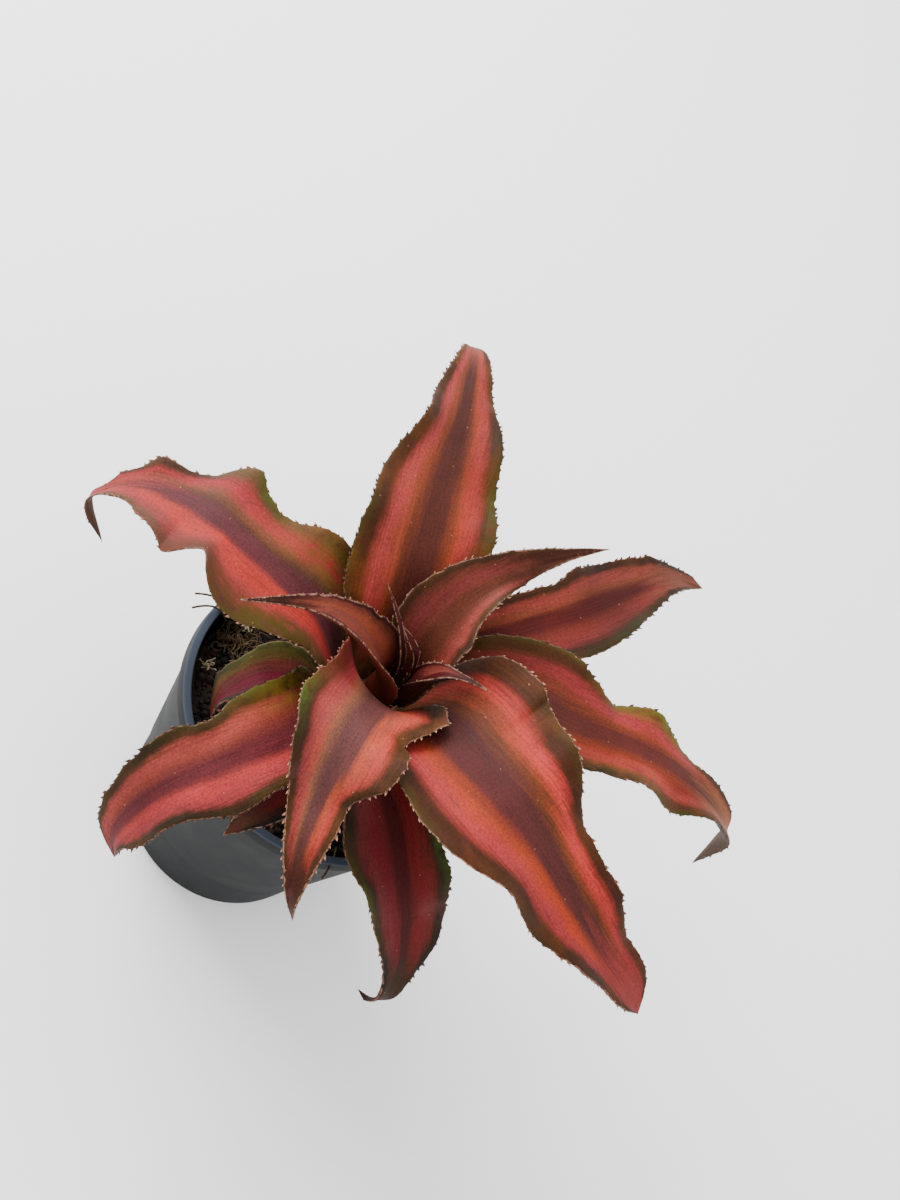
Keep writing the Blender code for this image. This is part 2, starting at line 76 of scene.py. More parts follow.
def plug(socket, value):
    # fills a socket with a wire or with a plain value
    if isinstance(value, Wire):
        value.tree.links.new(value.socket, socket)
    elif value is not None:
        socket.default_value = value


def add(tree, kind, *inputs, output=0, **named):
    # a new node's output; inputs go by order or by capitalised name, other names are node settings
    node = tree.nodes.new(kind)
    node.location = (len(tree.nodes) % 12 * 190, len(tree.nodes) // 12 * -260)
    for name in [name for name in named if name[0].islower()]:
        setattr(node, name, named.pop(name))
    for place, value in enumerate(inputs):
        plug(node.inputs[place], value)
    for name, value in named.items():
        plug(node.inputs[name.replace("_", " ")], value)
    return Wire(node.outputs[output])


def outputsOf(wire):
    # every output of the node that a wire comes from
    return [Wire(socket) for socket in wire.socket.node.outputs]


def isVector(value):
    # whether a value, or what a wire carries, is a vector or a colour
    if isinstance(value, Wire):
        return value.socket.type in ("VECTOR", "RGBA")
    return hasattr(value, "__len__")


def maths(operation, a, b=None):
    # one maths node, on vectors where either side is one
    tree = (a if isinstance(a, Wire) else b).tree
    if not isVector(a) and not isVector(b):
        return add(tree, "ShaderNodeMath", a, b, operation=operation)
    if operation == "MULTIPLY" and not isVector(b):
        return add(tree, "ShaderNodeVectorMath", a, Scale=b, operation="SCALE")
    output = "Value" if operation == "LENGTH" else "Vector"
    return add(tree, "ShaderNodeVectorMath", a, b, operation=operation, output=output)


def clamped(wire):
    # holds what a maths node gives between 0 and 1
    wire.socket.node.use_clamp = True
    return wire


def mixed(share, a, b):
    # a where share is 0 and b where it is 1, as colours where either is one
    kind, skipped, output = ("RGBA", 5, 2) if isVector(a) or isVector(b) else ("FLOAT", 1, 0)
    return add(share.tree, "ShaderNodeMix", share, *[None] * skipped, a, b, data_type=kind, output=output)


def ramped(value, start, end):
    # a smooth step from 0 at start to 1 at end
    return add(value.tree, "ShaderNodeMapRange", value, start, end, 0.0, 1.0,
               interpolation_type="SMOOTHSTEP")


def noisy(vector, scale, detail, roughness=0.5, output=0):
    return add(vector.tree, "ShaderNodeTexNoise", Vector=vector, Scale=scale, Detail=detail,
               Roughness=roughness, output=output)


def label(key):
    # "spineLength" as the sockets are named, "Spine Length"
    return "".join(" " + letter if letter.isupper() else letter for letter in key).title()


def newTree(name, kind, inputs, outputs):
    # a node group, with its inputs and outputs as names under their sort
    tree = bpy.data.node_groups.new(name, kind)
    for way, sorts in (("INPUT", inputs), ("OUTPUT", outputs)):
        for sort, names in sorts.items():
            for socket in names:
                tree.interface.new_socket(socket, in_out=way, socket_type="NodeSocket" + sort)
    given = {socket.name: Wire(socket) for socket in tree.nodes.new("NodeGroupInput").outputs}
    return tree, given, tree.nodes.new("NodeGroupOutput").inputs


def grouped(tree, group, **values):
    # places a group in a tree and gives back its outputs by name
    kind = "ShaderNodeGroup" if group.bl_idname == "ShaderNodeTree" else "GeometryNodeGroup"
    return {wire.socket.name: wire for wire in outputsOf(add(tree, kind, node_tree=group, **values))}


def plainMesh(obj):
    # what an object and its modifiers make, as a mesh of its own
    graph = bpy.context.evaluated_depsgraph_get()
    return bpy.data.meshes.new_from_object(obj.evaluated_get(graph))


def flattened(obj):
    plain = plainMesh(obj)
    obj.modifiers.clear()
    obj.data = plain


def grown(obj, tree, **values):
    # runs a geometry tree on the object, its inputs set by their identifiers
    modifier = obj.modifiers.new(tree.name, "NODES")
    modifier.node_group = tree
    for item in tree.interface.items_tree:
        if item.in_out == "INPUT" and item.name in values:
            modifier[item.identifier] = values[item.name]
    flattened(obj)


def placed(name, data):
    obj = bpy.data.objects.new(name, data)
    bpy.context.scene.collection.objects.link(obj)
    return obj


def meshFrom(name, mesh):
    # a bmesh as mesh data
    data = bpy.data.meshes.new(name)
    mesh.to_mesh(data)
    mesh.free()
    return data


def hexColour(text):
    # "c4605a" as it looks on screen, in the linear values that Blender works in
    parts = [int(text[k:k + 2], 16) / 255 for k in (0, 2, 4)]
    return (*(p / 12.92 if p <= 0.04045 else ((p + 0.055) / 1.055) ** 2.4 for p in parts), 1)


bladeNoises = {  # cells per mm across and along a blade, detail, roughness
    "streak": (0.55, 0.045, 3, 0.6), "fine": (2.6, 0.13, 3, 0.6), "mottle": (0.35, 0.22, 4, 0.6),
    "grain": (2.7, 2.1, 3, 0.75), "cloud": (0.13, 0.08, 2, 0.5), "beads": (0.0, 0.9, 2, 0.6),
    "broken": (0.5, 0.3, 3, 0.6), "flakes": (3.2, 1.7, 3, 0.75), "bars": (0.25, 0.9, 2, 0.5),
    "veins": (2.4, 0.03, 2, 0.5), "pores": (3.4, 3.0, 2, 0.5),
}
bladeColours = ("stripeLeft", "stripeRight", "outerLeft", "outerRight", "centre", "olive", "margin", "tip")
bandColours = (*bladeColours, "rim", "base")
bandNumbers = ("centreAt", "centreWidth", "centreStrength", "oliveLeft", "oliveRight",
               "marginLeft", "marginRight", "tipStart", "bleed")


def bladeNoise(flat, sort, seed):
    # noise on the millimetres of the flattened blade; each seed is another plane of it
    across, along, detail, roughness = bladeNoises[sort]
    plane = add(flat.tree, "ShaderNodeCombineXYZ", 0.0, 0.0, seed)
    return noisy(flat * (across, along, 0) + plane, 1.0, detail, roughness)


def bandsGroup():
    # the lengthwise bands of a blade: a dark centre edged with olive, on each side of it a stripe that
    # changes colour outward, then a brown margin that ends in a thin pale rim
    tree, given, out = newTree("leafBands", "ShaderNodeTree", {
        "Vector": ["Flat"], "Float": ["Across", "Along", "Half", "Seed", *map(label, bandNumbers)],
        "Color": map(label, bandColours)}, {"Color": ["Color"], "Float": ["Mottle"]})
    flat, across, along, seed = given["Flat"], given["Across"], given["Along"], given["Seed"]
    streak, fine, mottle, grain, cloud = (
        bladeNoise(flat, sort, seed) for sort in ("streak", "fine", "mottle", "grain", "cloud"))
    wander = ((fine - 0.5) * 0.4 + (streak - 0.5)) * given["Bleed"]
    fromCentre = across - given["Centre At"] + wander
    offMiddle = maths("ABSOLUTE", fromCentre)
    onLeft = ramped(fromCentre, -0.1, 0.1)
    edge = maths("ABSOLUTE", across) + wander * 0.8
    marginStart = mixed(onLeft, given["Margin Right"], given["Margin Left"])
    width = given["Centre Width"] * (1.15 - along * 0.5)
    colour = mixed(onLeft, given["Stripe Right"], given["Stripe Left"])
    outer = mixed(onLeft, given["Outer Right"], given["Outer Left"])
    isOuter = ramped(edge + (cloud - 0.5) * 0.5, marginStart - 0.42, marginStart - 0.16)
    colour = mixed(isOuter, colour, outer)
    inOlive = 1 - ramped(offMiddle, width * 0.9, width * 2.1)
    colour = mixed(inOlive * mixed(onLeft, given["Olive Right"], given["Olive Left"]), colour, given["Olive"])
    inCentre = 1 - ramped(offMiddle, width * 0.45, width * 1.4)
    colour = mixed(inCentre * given["Centre Strength"], colour, given["Centre"])
    inTip = ramped(along + wander, given["Tip Start"], given["Tip Start"] + 0.2)
    colour = mixed(inTip, colour, given["Tip"])
    # fine dark lines run along the inside of the margin, whose own tone changes along the blade
    beside = 1 - ramped(maths("ABSOLUTE", edge - (marginStart - 0.06)), 0.02, 0.2)
    colour = colour * (1 - ramped(fine, 0.5, 0.6) * beside * 0.3)
    margin = given["Margin"] * (ramped(cloud, 0.4, 0.62) * 0.7 + 0.65)
    colour = mixed(ramped(edge, marginStart - 0.12, marginStart + 0.1), colour, margin)
    colour = mixed(1 - ramped(along, 0.0, 0.12), colour, given["Base"])
    # faint brown blotches lie over everything
    colour = mixed(ramped(mottle, 0.5, 0.72) * 0.4, colour, given["Centre"])
    light = (streak - 0.5) * 0.45 + (fine - 0.5) * 0.4 + (mottle - 0.5) * 0.75 + (grain - 0.5) * 1.7
    colour = colour * (light + 1)
    fromEdge = (1 - maths("ABSOLUTE", across)) * (given["Half"] * toMm)
    rimWidth = mottle * 0.4 - 0.02
    inRim = (1 - ramped(fromEdge, rimWidth * 0.5, rimWidth)) * ramped(
        bladeNoise(flat, "beads", seed), 0.38, 0.6)
    plug(out["Color"], mixed(inRim, colour, given["Rim"]))
    plug(out["Mottle"], mottle)
    return tree


def patchGroup():
    # a soft patch on one half of a blade, strongest at a place along it, broken up by noise
    tree, given, out = newTree("leafPatch", "ShaderNodeTree", {
        "Vector": ["Flat"], "Float": ["Across", "Along", "Side", "Place", "Reach", "Start", "Strength"]},
        {"Float": ["Mask"]})
    away = (given["Along"] - given["Place"]) / given["Reach"]
    near = maths("POWER", 2.718, away * away * -1)
    outside = ramped(given["Across"] * given["Side"], given["Start"], given["Start"] + 0.25)
    broken = ramped(bladeNoise(given["Flat"], "broken", 7), 0.25, 0.6)
    plug(out["Mask"], clamped(near * outside * broken * given["Strength"]))
    return tree


def scurfGroup():
    # the silvery scales of a bromeliad: short flakes lying along the blade, in faint cross bars
    tree, given, out = newTree("leafScurf", "ShaderNodeTree", {
        "Vector": ["Flat"], "Float": ["Amount", "Seed"]}, {"Float": ["Mask"]})
    flat, amount, seed = given["Flat"], given["Amount"], given["Seed"]
    level = bladeNoise(flat, "flakes", seed) * 0.75 + bladeNoise(flat, "bars", seed) * 0.25
    start = 0.78 - amount * 0.42
    plug(out["Mask"], ramped(level, start, start + 0.08) * ramped(amount, 0.0, 0.2))
    return tree


def fleckGroup():
    # sparse pale specks, each a small irregular dot in a cell of its own
    tree, given, out = newTree("paleFlecks", "ShaderNodeTree", {
        "Vector": ["Vector"], "Float": ["Cell", "Size", "Share"]}, {"Float": ["Mask"]})
    distance, cell, *_ = outputsOf(add(
        tree, "ShaderNodeTexVoronoi", Vector=given["Vector"], Scale=1 / given["Cell"]))
    luck, size, _ = outputsOf(add(tree, "ShaderNodeSeparateColor", cell))
    ratio = given["Size"] / given["Cell"]
    dot = 1 - ramped(distance, ratio * 0.5, ratio)
    plug(out["Mask"], dot * ((luck < given["Share"]) * (size * 0.8 + 0.2)))
    return tree


def grainGroup():
    # uneven colour and height for spines, plastic, soil and bark, on the piece's own coordinates
    tree, given, out = newTree("unevenGrain", "ShaderNodeTree", {
        "Vector": ["Vector"], "Float": ["Coarse", "Fine"]}, {"Float": ["Coarse", "Fine"]})
    for name, detail in (("Coarse", 3), ("Fine", 4)):
        plug(out[name], noisy(given["Vector"] * given[name], 1.0, detail, 0.6))
    return tree


leafBands = bandsGroup()
leafPatch = patchGroup()
leafScurf = scurfGroup()
paleFlecks = fleckGroup()
unevenGrain = grainGroup()


def newMaterial(name, **values):
    # a material with a Principled shader, its even values set on the shader's own sockets
    made = bpy.data.materials.new(name)
    made.use_nodes = True
    shader = made.node_tree.nodes["Principled BSDF"]
    for socket, value in values.items():
        plug(shader.inputs[socket.replace("_", " ")], value)
    return made, made.node_tree, shader.inputs


def bumped(shader, height, strength, distance):
    plug(shader["Normal"], add(
        height.tree, "ShaderNodeBump", Strength=strength, Distance=distance, Height=height))


def grained(name, coarse, fine, rough, bump, roughBy="Fine", stretch=None, **values):
    # a material with uneven roughness and height, whose colour is still to be plugged in
    made, tree, shader = newMaterial(name, **values)
    place = add(tree, "ShaderNodeTexCoord", output="Object")
    grain = grouped(tree, unevenGrain, Vector=place * stretch if stretch else place,
                    Coarse=coarse, Fine=fine)
    plug(shader["Roughness"], grain[roughBy] * 0.3 + rough)
    bumped(shader, grain["Fine"], *bump)
    return made, shader["Base Color"], grain, place


def attribute(tree, name, output="Fac"):
    return add(tree, "ShaderNodeAttribute", attribute_name=name, output=output)


leafLook = {  # what a leaf has unless its own dictionary says otherwise; sizes in mm
    "rim": "714e3b", "base": "684a2e", "centreAt": 0.0, "centreWidth": 0.28, "centreStrength": 0.95,
    "oliveLeft": 0.5, "oliveRight": 0.5, "marginLeft": 0.78, "marginRight": 0.78, "tipStart": 0.85,
    "bleed": 0.3, "scurf": 0.06, "tipScurf": 0.15, "scurfStart": 0.8, "silver": "5e5147",
    "underside": "35241c", "silverBelow": 0.8, "fleck": "cd915e",
    # painted light and shade: each blade is made lighter where it faces the light and darker where it bends
    # away
    "paintedShading": (1, 1, 1, 1, 1), "paintedShadingPlaces": (0.2, 0.4, 0.6, 0.78, 0.92),  # brightness along the blade
    "patches": (),  # (colour, side, place along, reach, start across, strength)
    "waves": (),  # (side, place along, height, spread)
    "thickness": 0.9, "foldRadius": 1.3, "ripple": 0.5, "pucker": 0.3, "jag": 1.5, "columns": 33,
    "rowStep": 0.42, "spineBase": "290907", "spineTip": "4b2b1f", "spineLength": 0.6, "spineWidth": 0.22,
    "spinePitch": 1.45,
}
bladeSizes = ("thickness", "foldRadius", "ripple", "pucker", "jag",
              "spineLength", "spineWidth", "spinePitch")


def leafMaterial(name, look, seed):
    made, tree, shader = newMaterial(name, Specular_IOR_Level=0.12, IOR=1.45)
    across, along, half, under = (attribute(tree, sort) for sort in ("across", "along", "half", "under"))
    flat = attribute(tree, "flat", "Vector")
    bands = grouped(tree, leafBands, Across=across, Along=along, Flat=flat, Half=half, Seed=seed,
                    **{label(key): hexColour(look[key]) for key in bandColours},
                    **{label(key): look[key] for key in bandNumbers})
    colour = bands["Color"]
    for shade, side, place, reach, start, strength in look["patches"]:
        mask = grouped(tree, leafPatch, Across=across, Along=along, Flat=flat, Side=side, Place=place,
                       Reach=reach, Start=start, Strength=strength)["Mask"]
        colour = mixed(mask, colour, hexColour(shade))
    # painted light and shade: the colour is made lighter or darker along the blade as light falls on it
    tone, places = look["paintedShading"][0], look["paintedShadingPlaces"]
    for start, end, coming in zip(places, places[1:], look["paintedShading"][1:]):
        tone = mixed(ramped(along, start, end), tone, coming)
    colour = colour * tone
    # silvery scales on both faces, closest near the tip
    silver, underside = hexColour(look["silver"]), hexColour(look["underside"])
    narrow = ramped(along, look["scurfStart"], 1.0)
    amount = mixed(narrow, look["scurf"], look["tipScurf"])
    above = grouped(tree, leafScurf, Flat=flat, Amount=amount, Seed=seed)["Mask"]
    below = grouped(tree, leafScurf, Flat=flat, Amount=0.45, Seed=seed + 3)["Mask"]
    colour = mixed(above * 0.6, colour, silver)
    share = (narrow * 0.6 + 0.4) * look["silverBelow"]
    colour = mixed(under, colour, mixed(below * share, underside, silver))
    fleck = grouped(tree, paleFlecks, Vector=flat, Cell=1.5, Size=0.14, Share=0.2)["Mask"]
    plug(shader["Base Color"], mixed(fleck * 0.55, colour, hexColour(look["fleck"])))
    scurf = mixed(under, above, below)
    plug(shader["Roughness"], bands["Mottle"] * 0.2 + 0.5 + scurf * 0.2)
    height = bladeNoise(flat, "veins", seed) + bladeNoise(flat, "pores", seed) * 0.4
    bumped(shader, height + scurf * 0.6, 0.35, 0.00025)
    return made


def spineMaterial(name, look):
    made, base, grain, _ = grained(name, coarse=700.0, fine=6000.0, rough=0.4, bump=(0.3, 0.00005),
                                   roughBy="Coarse", Specular_IOR_Level=0.3)
    up = ramped(attribute(made.node_tree, "spineUp"), 0.1, 0.75)
    colour = mixed(up, hexColour(look["spineBase"]), hexColour(look["spineTip"]))
    plug(base, colour * (grain["Coarse"] + 0.5))
    return made


def through(stops, share):
    # the value at share of a smooth curve through (share, value) stops
    last = len(stops) - 1
    k = max(i for i in range(last) if stops[i][0] <= share or i == 0)
    (start, a), (end, b) = stops[k], stops[k + 1]
    span = end - start
    before, after = stops[max(k - 1, 0)], stops[min(k + 2, last)]
    slopeA = (b - before[1]) / (end - before[0])
    slopeB = (after[1] - a) / (after[0] - start)
    x = (share - start) / span
    return (a * (2 * x**3 - 3 * x**2 + 1) + b * (3 * x**2 - 2 * x**3)
            + slopeA * (span * (x**3 - 2 * x**2 + x)) + slopeB * (span * (x**3 - x**2)))


def midribLine(leaf):
    # the midrib as a line of points, each holding what the blade does there
    stops = [Vector(p) for p in leaf["midrib"]]
    reach = [0.0]
    for a, b in zip(stops, stops[1:]):
        reach.append(reach[-1] + (b - a).length)
    midrib = [(r / reach[-1], p) for r, p in zip(reach, stops)]
    turn = Matrix.Rotation(math.radians(leaf["azimuth"]), 3, "Z")
    rows = max(round(reach[-1] / leaf["rowStep"]), 40)
    places, points, distance = [], [], 0.0
    for row in range(rows):
        share = row / (rows - 1)
        ahead = through(midrib, min(share + 0.01, 1)) - through(midrib, max(share - 0.01, 0))
        ahead.normalize()
        leftward = Vector((0, 1, 0))
        leftward = (leftward - ahead * leftward.dot(ahead)).normalized()
        waves = {1: 0.0, -1: 0.0}
        for side, place, height, spread in leaf["waves"]:
            waves[side] += height * math.exp(-(((share - place) / spread) ** 2))
        spot = turn @ through(midrib, share) * mm + plantAxis
        distance += (spot - places[-1]).length if places else 0
        places.append(spot)
        points.append({
            "leftward": turn @ leftward, "facing": turn @ ahead.cross(leftward),
            "halfLeft": max(through(leaf["left"], share), 0) * mm,
            "halfRight": max(through(leaf["right"], share), 0) * mm,
            "bend": math.radians(max(through(leaf["channel"], share), 2)),
            "waveLeft": waves[1] * mm, "waveRight": waves[-1] * mm, "distance": distance})
    mesh = bpy.data.meshes.new("midrib")
    mesh.from_pydata(places, [(row, row + 1) for row in range(rows - 1)], [])
    for name in points[0]:
        column = [point[name] for point in points]
        kind, field = ("FLOAT_VECTOR", "vector") if isVector(column[0]) else ("FLOAT", "value")
        if field == "vector":
            column = [part for value in column for part in value]
        mesh.attributes.new(name, kind, "POINT").data.foreach_set(field, column)
    return mesh, rows


def held(tree, name, kind="FLOAT"):
    # what the points hold under a name
    return add(tree, "GeometryNodeInputNamedAttribute", name, data_type=kind)


def stored(geometry, name, value):
    kind = "FLOAT_VECTOR" if isVector(value) else "FLOAT"
    return add(geometry.tree, "GeometryNodeStoreNamedAttribute", Geometry=geometry, Name=name,
               Value=value, data_type=kind, domain="POINT")


def moved(geometry, **values):
    return add(geometry.tree, "GeometryNodeSetPosition", Geometry=geometry, **values)


def coated(geometry, material):
    return add(geometry.tree, "GeometryNodeSetMaterial", Geometry=geometry, Material=material)


def joined(*geometries):
    # the geometries as one, in the order given
    node = geometries[0].tree.nodes.new("GeometryNodeJoinGeometry")
    for geometry in reversed(geometries):
        plug(node.inputs[0], geometry)
    return Wire(node.outputs[0])


bladeForm = {  # noise cells per metre of the blade for the margin's jags and ripples and the face's swells
    "jagCells": 420.0, "rippleCells": 210.0, "swellCells": 150.0, "swellAcross": 200.0,
    "fullAt": 250.0,  # these come to their full strength where half the width is 1 / fullAt metres
    "columnRound": 8.0, "baseRound": 0.03, "tipRound": 500.0,  # how the blade's thickness runs out
}
spineForm = {
    "starts": (0.03, 0.1), "ends": (0.97, 0.995),  # along the blade, from none to full and back
    "sizeAt": (0.4, 300.0), "growth": (0.5, 0.85), "lean": (0.25, 0.7),  # least, and what is added
    "slide": 0.6, "missing": 0.1, "smallest": 0.2, "sink": -0.0001, "hook": 0.45, "section": (1.6, 0.6),
    "aimFrom": 0.88, "sides": 5,
}


def bladePointGroup():
    # where a point of the blade lies, from its row along the midrib and its side, 1 being the left margin
    tree, given, out = newTree("bladePoint", "GeometryNodeTree", {
        "Geometry": ["Midrib"], "Int": ["Row"],
        "Float": ["Side", "Ripple", "Pucker", "Jag", "Fold Radius", "Seed"]},
        {"Vector": ["Position"], "Float": ["Half", "Distance"]})
    side, seed, form = given["Side"], given["Seed"], bladeForm

    def sampled(value, kind="FLOAT"):
        return add(tree, "GeometryNodeSampleIndex", given["Midrib"], value, given["Row"], data_type=kind)

    def uneven(scale, across, plane, detail, roughness=0.5):
        # noise that changes along the blade
        place = add(tree, "ShaderNodeCombineXYZ", distance * scale, across, plane)
        return noisy(place, 1.0, detail, roughness)

    centre = sampled(add(tree, "GeometryNodeInputPosition"), "FLOAT_VECTOR")
    leftward, facing = (sampled(held(tree, name, "FLOAT_VECTOR"), "FLOAT_VECTOR")
                        for name in ("leftward", "facing"))
    distance, ownBend, halfLeft, halfRight, waveLeft, waveRight = (sampled(held(tree, name)) for name in (
        "distance", "bend", "halfLeft", "halfRight", "waveLeft", "waveRight"))
    onLeft = side > 0.0
    half = mixed(onLeft, halfRight, halfLeft)
    # the margin steps in and out a little every few millimetres, and more finely between the spines
    jag = (uneven(form["jagCells"], onLeft * 3.0, seed + 4.0, 2.0, 0.7) - 0.55) * given["Jag"]
    half = maths("MAXIMUM", half + jag * clamped(half * form["fullAt"]), 0.0)
    tightest = maths("MAXIMUM", half, 0.00005) / given["Fold Radius"]
    bend = maths("MINIMUM", ownBend, tightest)
    radius = half / bend
    across = radius * maths("SINE", bend * side)
    squared = side * side
    lift = radius * (1 - maths("COSINE", bend * side)) + mixed(onLeft, waveRight, waveLeft) * squared
    # small ripples of the margin, beside the main waves, which die out where the blade is narrow
    wide = clamped(half * form["fullAt"])
    ripple = (uneven(form["rippleCells"], onLeft * 5.0, seed, 1.0) - 0.5) * given["Ripple"]
    lift = lift + ripple * (squared * squared * wide)
    # low swells over the whole face, a few millimetres apart
    swell = uneven(form["swellCells"], across * form["swellAcross"], seed + 9.0, 1.0)
    lift = lift + (swell - 0.5) * given["Pucker"] * wide
    plug(out["Position"], centre + leftward * across + facing * lift)
    plug(out["Half"], half)
    plug(out["Distance"], distance)
    return tree


def leafTree():
    tree, given, out = newTree("cryptanthusLeaf", "GeometryNodeTree", {
        "Geometry": ["Midrib"], "Int": ["Rows", "Columns"], "Float": ["Seed", *map(label, bladeSizes)],
        "Material": ["Blade", "Spine"]}, {"Geometry": ["Leaf"]})
    form, spine = bladeForm, spineForm
    index = add(tree, "GeometryNodeInputIndex")
    lastColumn, lastRow = given["Columns"] - 1, given["Rows"] - 1

    def at(row, side):
        shared = {name: given[name] for name in ("Midrib", "Ripple", "Pucker", "Jag", "Fold Radius", "Seed")}
        return grouped(tree, bladePoint, Row=row, Side=side, **shared)

    # the sheet: columns crowd towards the margins, and it faces up
    row = maths("MODULO", index, given["Rows"])
    column = maths("FLOOR", index / given["Rows"])
    side = maths("SINE", (column / lastColumn - 0.5) * math.pi) * -1
    here = at(row, side)
    flat = add(tree, "ShaderNodeCombineXYZ", side * here["Half"] * toMm, here["Distance"] * toMm, 0.0)
    sheet = add(tree, "GeometryNodeMeshGrid", 1.0, 1.0, given["Columns"], given["Rows"])
    for name, value in (("across", side), ("along", row / lastRow), ("flat", flat), ("half", here["Half"])):
        sheet = stored(sheet, name, value)
    sheet = moved(sheet, Position=here["Position"])
    # the blade: the sheet's two faces, closed along the margins, at the base and at the tip
    across, along, half = (held(tree, name) for name in ("across", "along", "half"))
    swell = 1 - maths("POWER", maths("ABSOLUTE", across), form["columnRound"])
    swell = maths("SQRT", maths("MAXIMUM", swell, 0.0))
    ends = ramped(along, 0.0, form["baseRound"]) * clamped(half * form["tipRound"])
    thick = swell * ends * (given["Thickness"] * 0.5)
    normal = add(tree, "GeometryNodeInputNormal")
    top = stored(moved(sheet, Offset=normal * thick), "under", 0.0)
    bottom = add(tree, "GeometryNodeFlipFaces", moved(sheet, Offset=normal * (thick * -1)))
    bottom = stored(bottom, "under", 1.0)
    blade = add(tree, "GeometryNodeMergeByDistance", Geometry=joined(top, bottom), Distance=0.00001)
    # the spines: hooks set along both margins, leaning towards the tip, a few of them missing
    spineLength, pitch = given["Spine Length"], given["Spine Pitch"]
    hook = add(tree, "GeometryNodeMeshCone", spine["sides"], 3, 1, 0.0, given["Spine Width"], spineLength)
    x, y, z = outputsOf(add(tree, "ShaderNodeSeparateXYZ", add(tree, "GeometryNodeInputPosition")))
    up = z / spineLength
    length, width = spine["section"]
    bent = x * length + up * up * (spineLength * spine["hook"])
    bent = add(tree, "ShaderNodeCombineXYZ", bent, y * width, z)
    hook = moved(stored(hook, "spineUp", up), Position=bent)
    rows = []
    for margin in (1.0, -1.0):
        spot = at(index, margin)
        inside, ahead = at(index, spine["aimFrom"] * margin), at(index + 1.0, margin)
        outward = maths("NORMALIZE", spot["Position"] - inside["Position"])
        forward = maths("NORMALIZE", ahead["Position"] - spot["Position"])
        place = index / lastRow
        bearing = ramped(place, *spine["starts"]) * (1 - ramped(place, *spine["ends"]))
        least, added = spine["sizeAt"]
        size = clamped(spot["Half"] * added + least) * bearing
        line = given["Midrib"]
        for name, value in (("outward", outward), ("forward", forward), ("size", size)):
            line = stored(line, name, value)
        curve = add(tree, "GeometryNodeMeshToCurve", moved(line, Position=spot["Position"]))
        curve = add(tree, "GeometryNodeResampleCurve", Curve=curve, Length=pitch, mode="LENGTH")
        outward, forward = held(tree, "outward", "FLOAT_VECTOR"), held(tree, "forward", "FLOAT_VECTOR")
        size = held(tree, "size")
        grow, slide, lean = (add(
            tree, "FunctionNodeRandomValue", Seed=given["Seed"] + (7.0 * number + margin),
            data_type="FLOAT", output=1) for number in range(3))
        slid = forward * ((slide - 0.5) * (pitch * spine["slide"]))
        curve = moved(curve, Offset=outward * spine["sink"] + slid)
        least, added = spine["lean"]
        rotation = add(tree, "FunctionNodeAxesToRotation", outward + forward * (lean * added + least),
                       forward, primary_axis="Z", secondary_axis="X")
        least, added = spine["growth"]
        rows.append(add(tree, "GeometryNodeInstanceOnPoints", Points=curve, Instance=hook,
                        Rotation=rotation, Scale=size * (grow * added + least),
                        Selection=size * (slide > spine["missing"]) > spine["smallest"]))
    spines = coated(add(tree, "GeometryNodeRealizeInstances", joined(*rows)), given["Spine"])
    leaf = joined(coated(blade, given["Blade"]), spines)
    plug(out["Leaf"], add(tree, "GeometryNodeSetShadeSmooth", leaf))
    return tree


bladePoint = bladePointGroup()
cryptanthusLeaf = leafTree()


def makeLeaf(node, leaf, seed):
    name = node.replace("_", "")
    look = {**leafLook, **leaf, **dict(zip(bladeColours, leaf["colours"].split()))}
    mesh, rows = midribLine(look)
    obj = placed(name + "_blade", mesh)
    grown(obj, cryptanthusLeaf, Rows=rows, Columns=look["columns"], Seed=float(seed),
          Blade=leafMaterial(name + "_skin", look, float(seed)), Spine=spineMaterial(name + "_spine", look),
          **{label(key): look[key] * mm for key in bladeSizes})
    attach(obj, "root")
    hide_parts(node)
    print(name, len(obj.data.polygons), "faces")


# what several leaves have in common
paleSpines = {
    "spineBase": "492b1f", "spineTip": "a5755d", "rim": "875f49",
}
youngLook = {
    "spineBase": "492e24", "spineTip": "b9886a", "rim": "725445", "spineWidth": 0.12, "tipScurf": 0.6,
    "silver": "917964", "tipStart": 0.6, "silverBelow": 0.35,
}
# the leaves of the heart: their undersides near black as painted shade deep in the heart
heartLook = {
    "spineBase": "492e24", "spineTip": "b9886a", "rim": "725445", "spineWidth": 0.12, "marginLeft": 0.85,
    "marginRight": 0.85, "tipStart": 0.5, "scurf": 0.1, "tipScurf": 0.2, "scurfStart": 0.3, "ripple": 0.1,
    "silver": "4e3932", "spineLength": 0.35, "underside": "1e0707", "silverBelow": 0.2,
    "paintedShading": (0.8, 0.9, 1, 1, 1),
}

# each leaf is given in its own plane, in mm, as the CAD has it: out from the stem, to its left, up;
# widths, channel (degrees) and margin waves go by the share of its length from base to tip, and its
# colours are in the order of bladeColours
leaf01 = {  # the oldest leaf, low at the front
    "azimuth": -87, "colours": "330707 2c0707 1e0707 612027 3e0707 4e1407 070707 381e11",
    "midrib": ((5.2, -0.8, 47.5), (10, -0.6, 52.5), (18, 0.5, 56.5), (23.7, 0, 55.2), (27.8, -0.8, 52.7),
               (31.3, -1.5, 49)),
    "left": ((0, 3.5), (0.3, 4.5), (0.6, 4.5), (0.85, 2), (1, 0)),
    "right": ((0, 3.5), (0.3, 5), (0.6, 4.5), (0.85, 2), (1, 0)),
    "channel": ((0, 45), (0.4, 30), (1, 20)),
    "oliveLeft": 0.3, "oliveRight": 0.3, "marginLeft": 0.75, "marginRight": 0.75, "tipStart": 0.7,
    "tipScurf": 0.3, "paintedShading": (1, 1, 1.12, 0.88, 1),
}

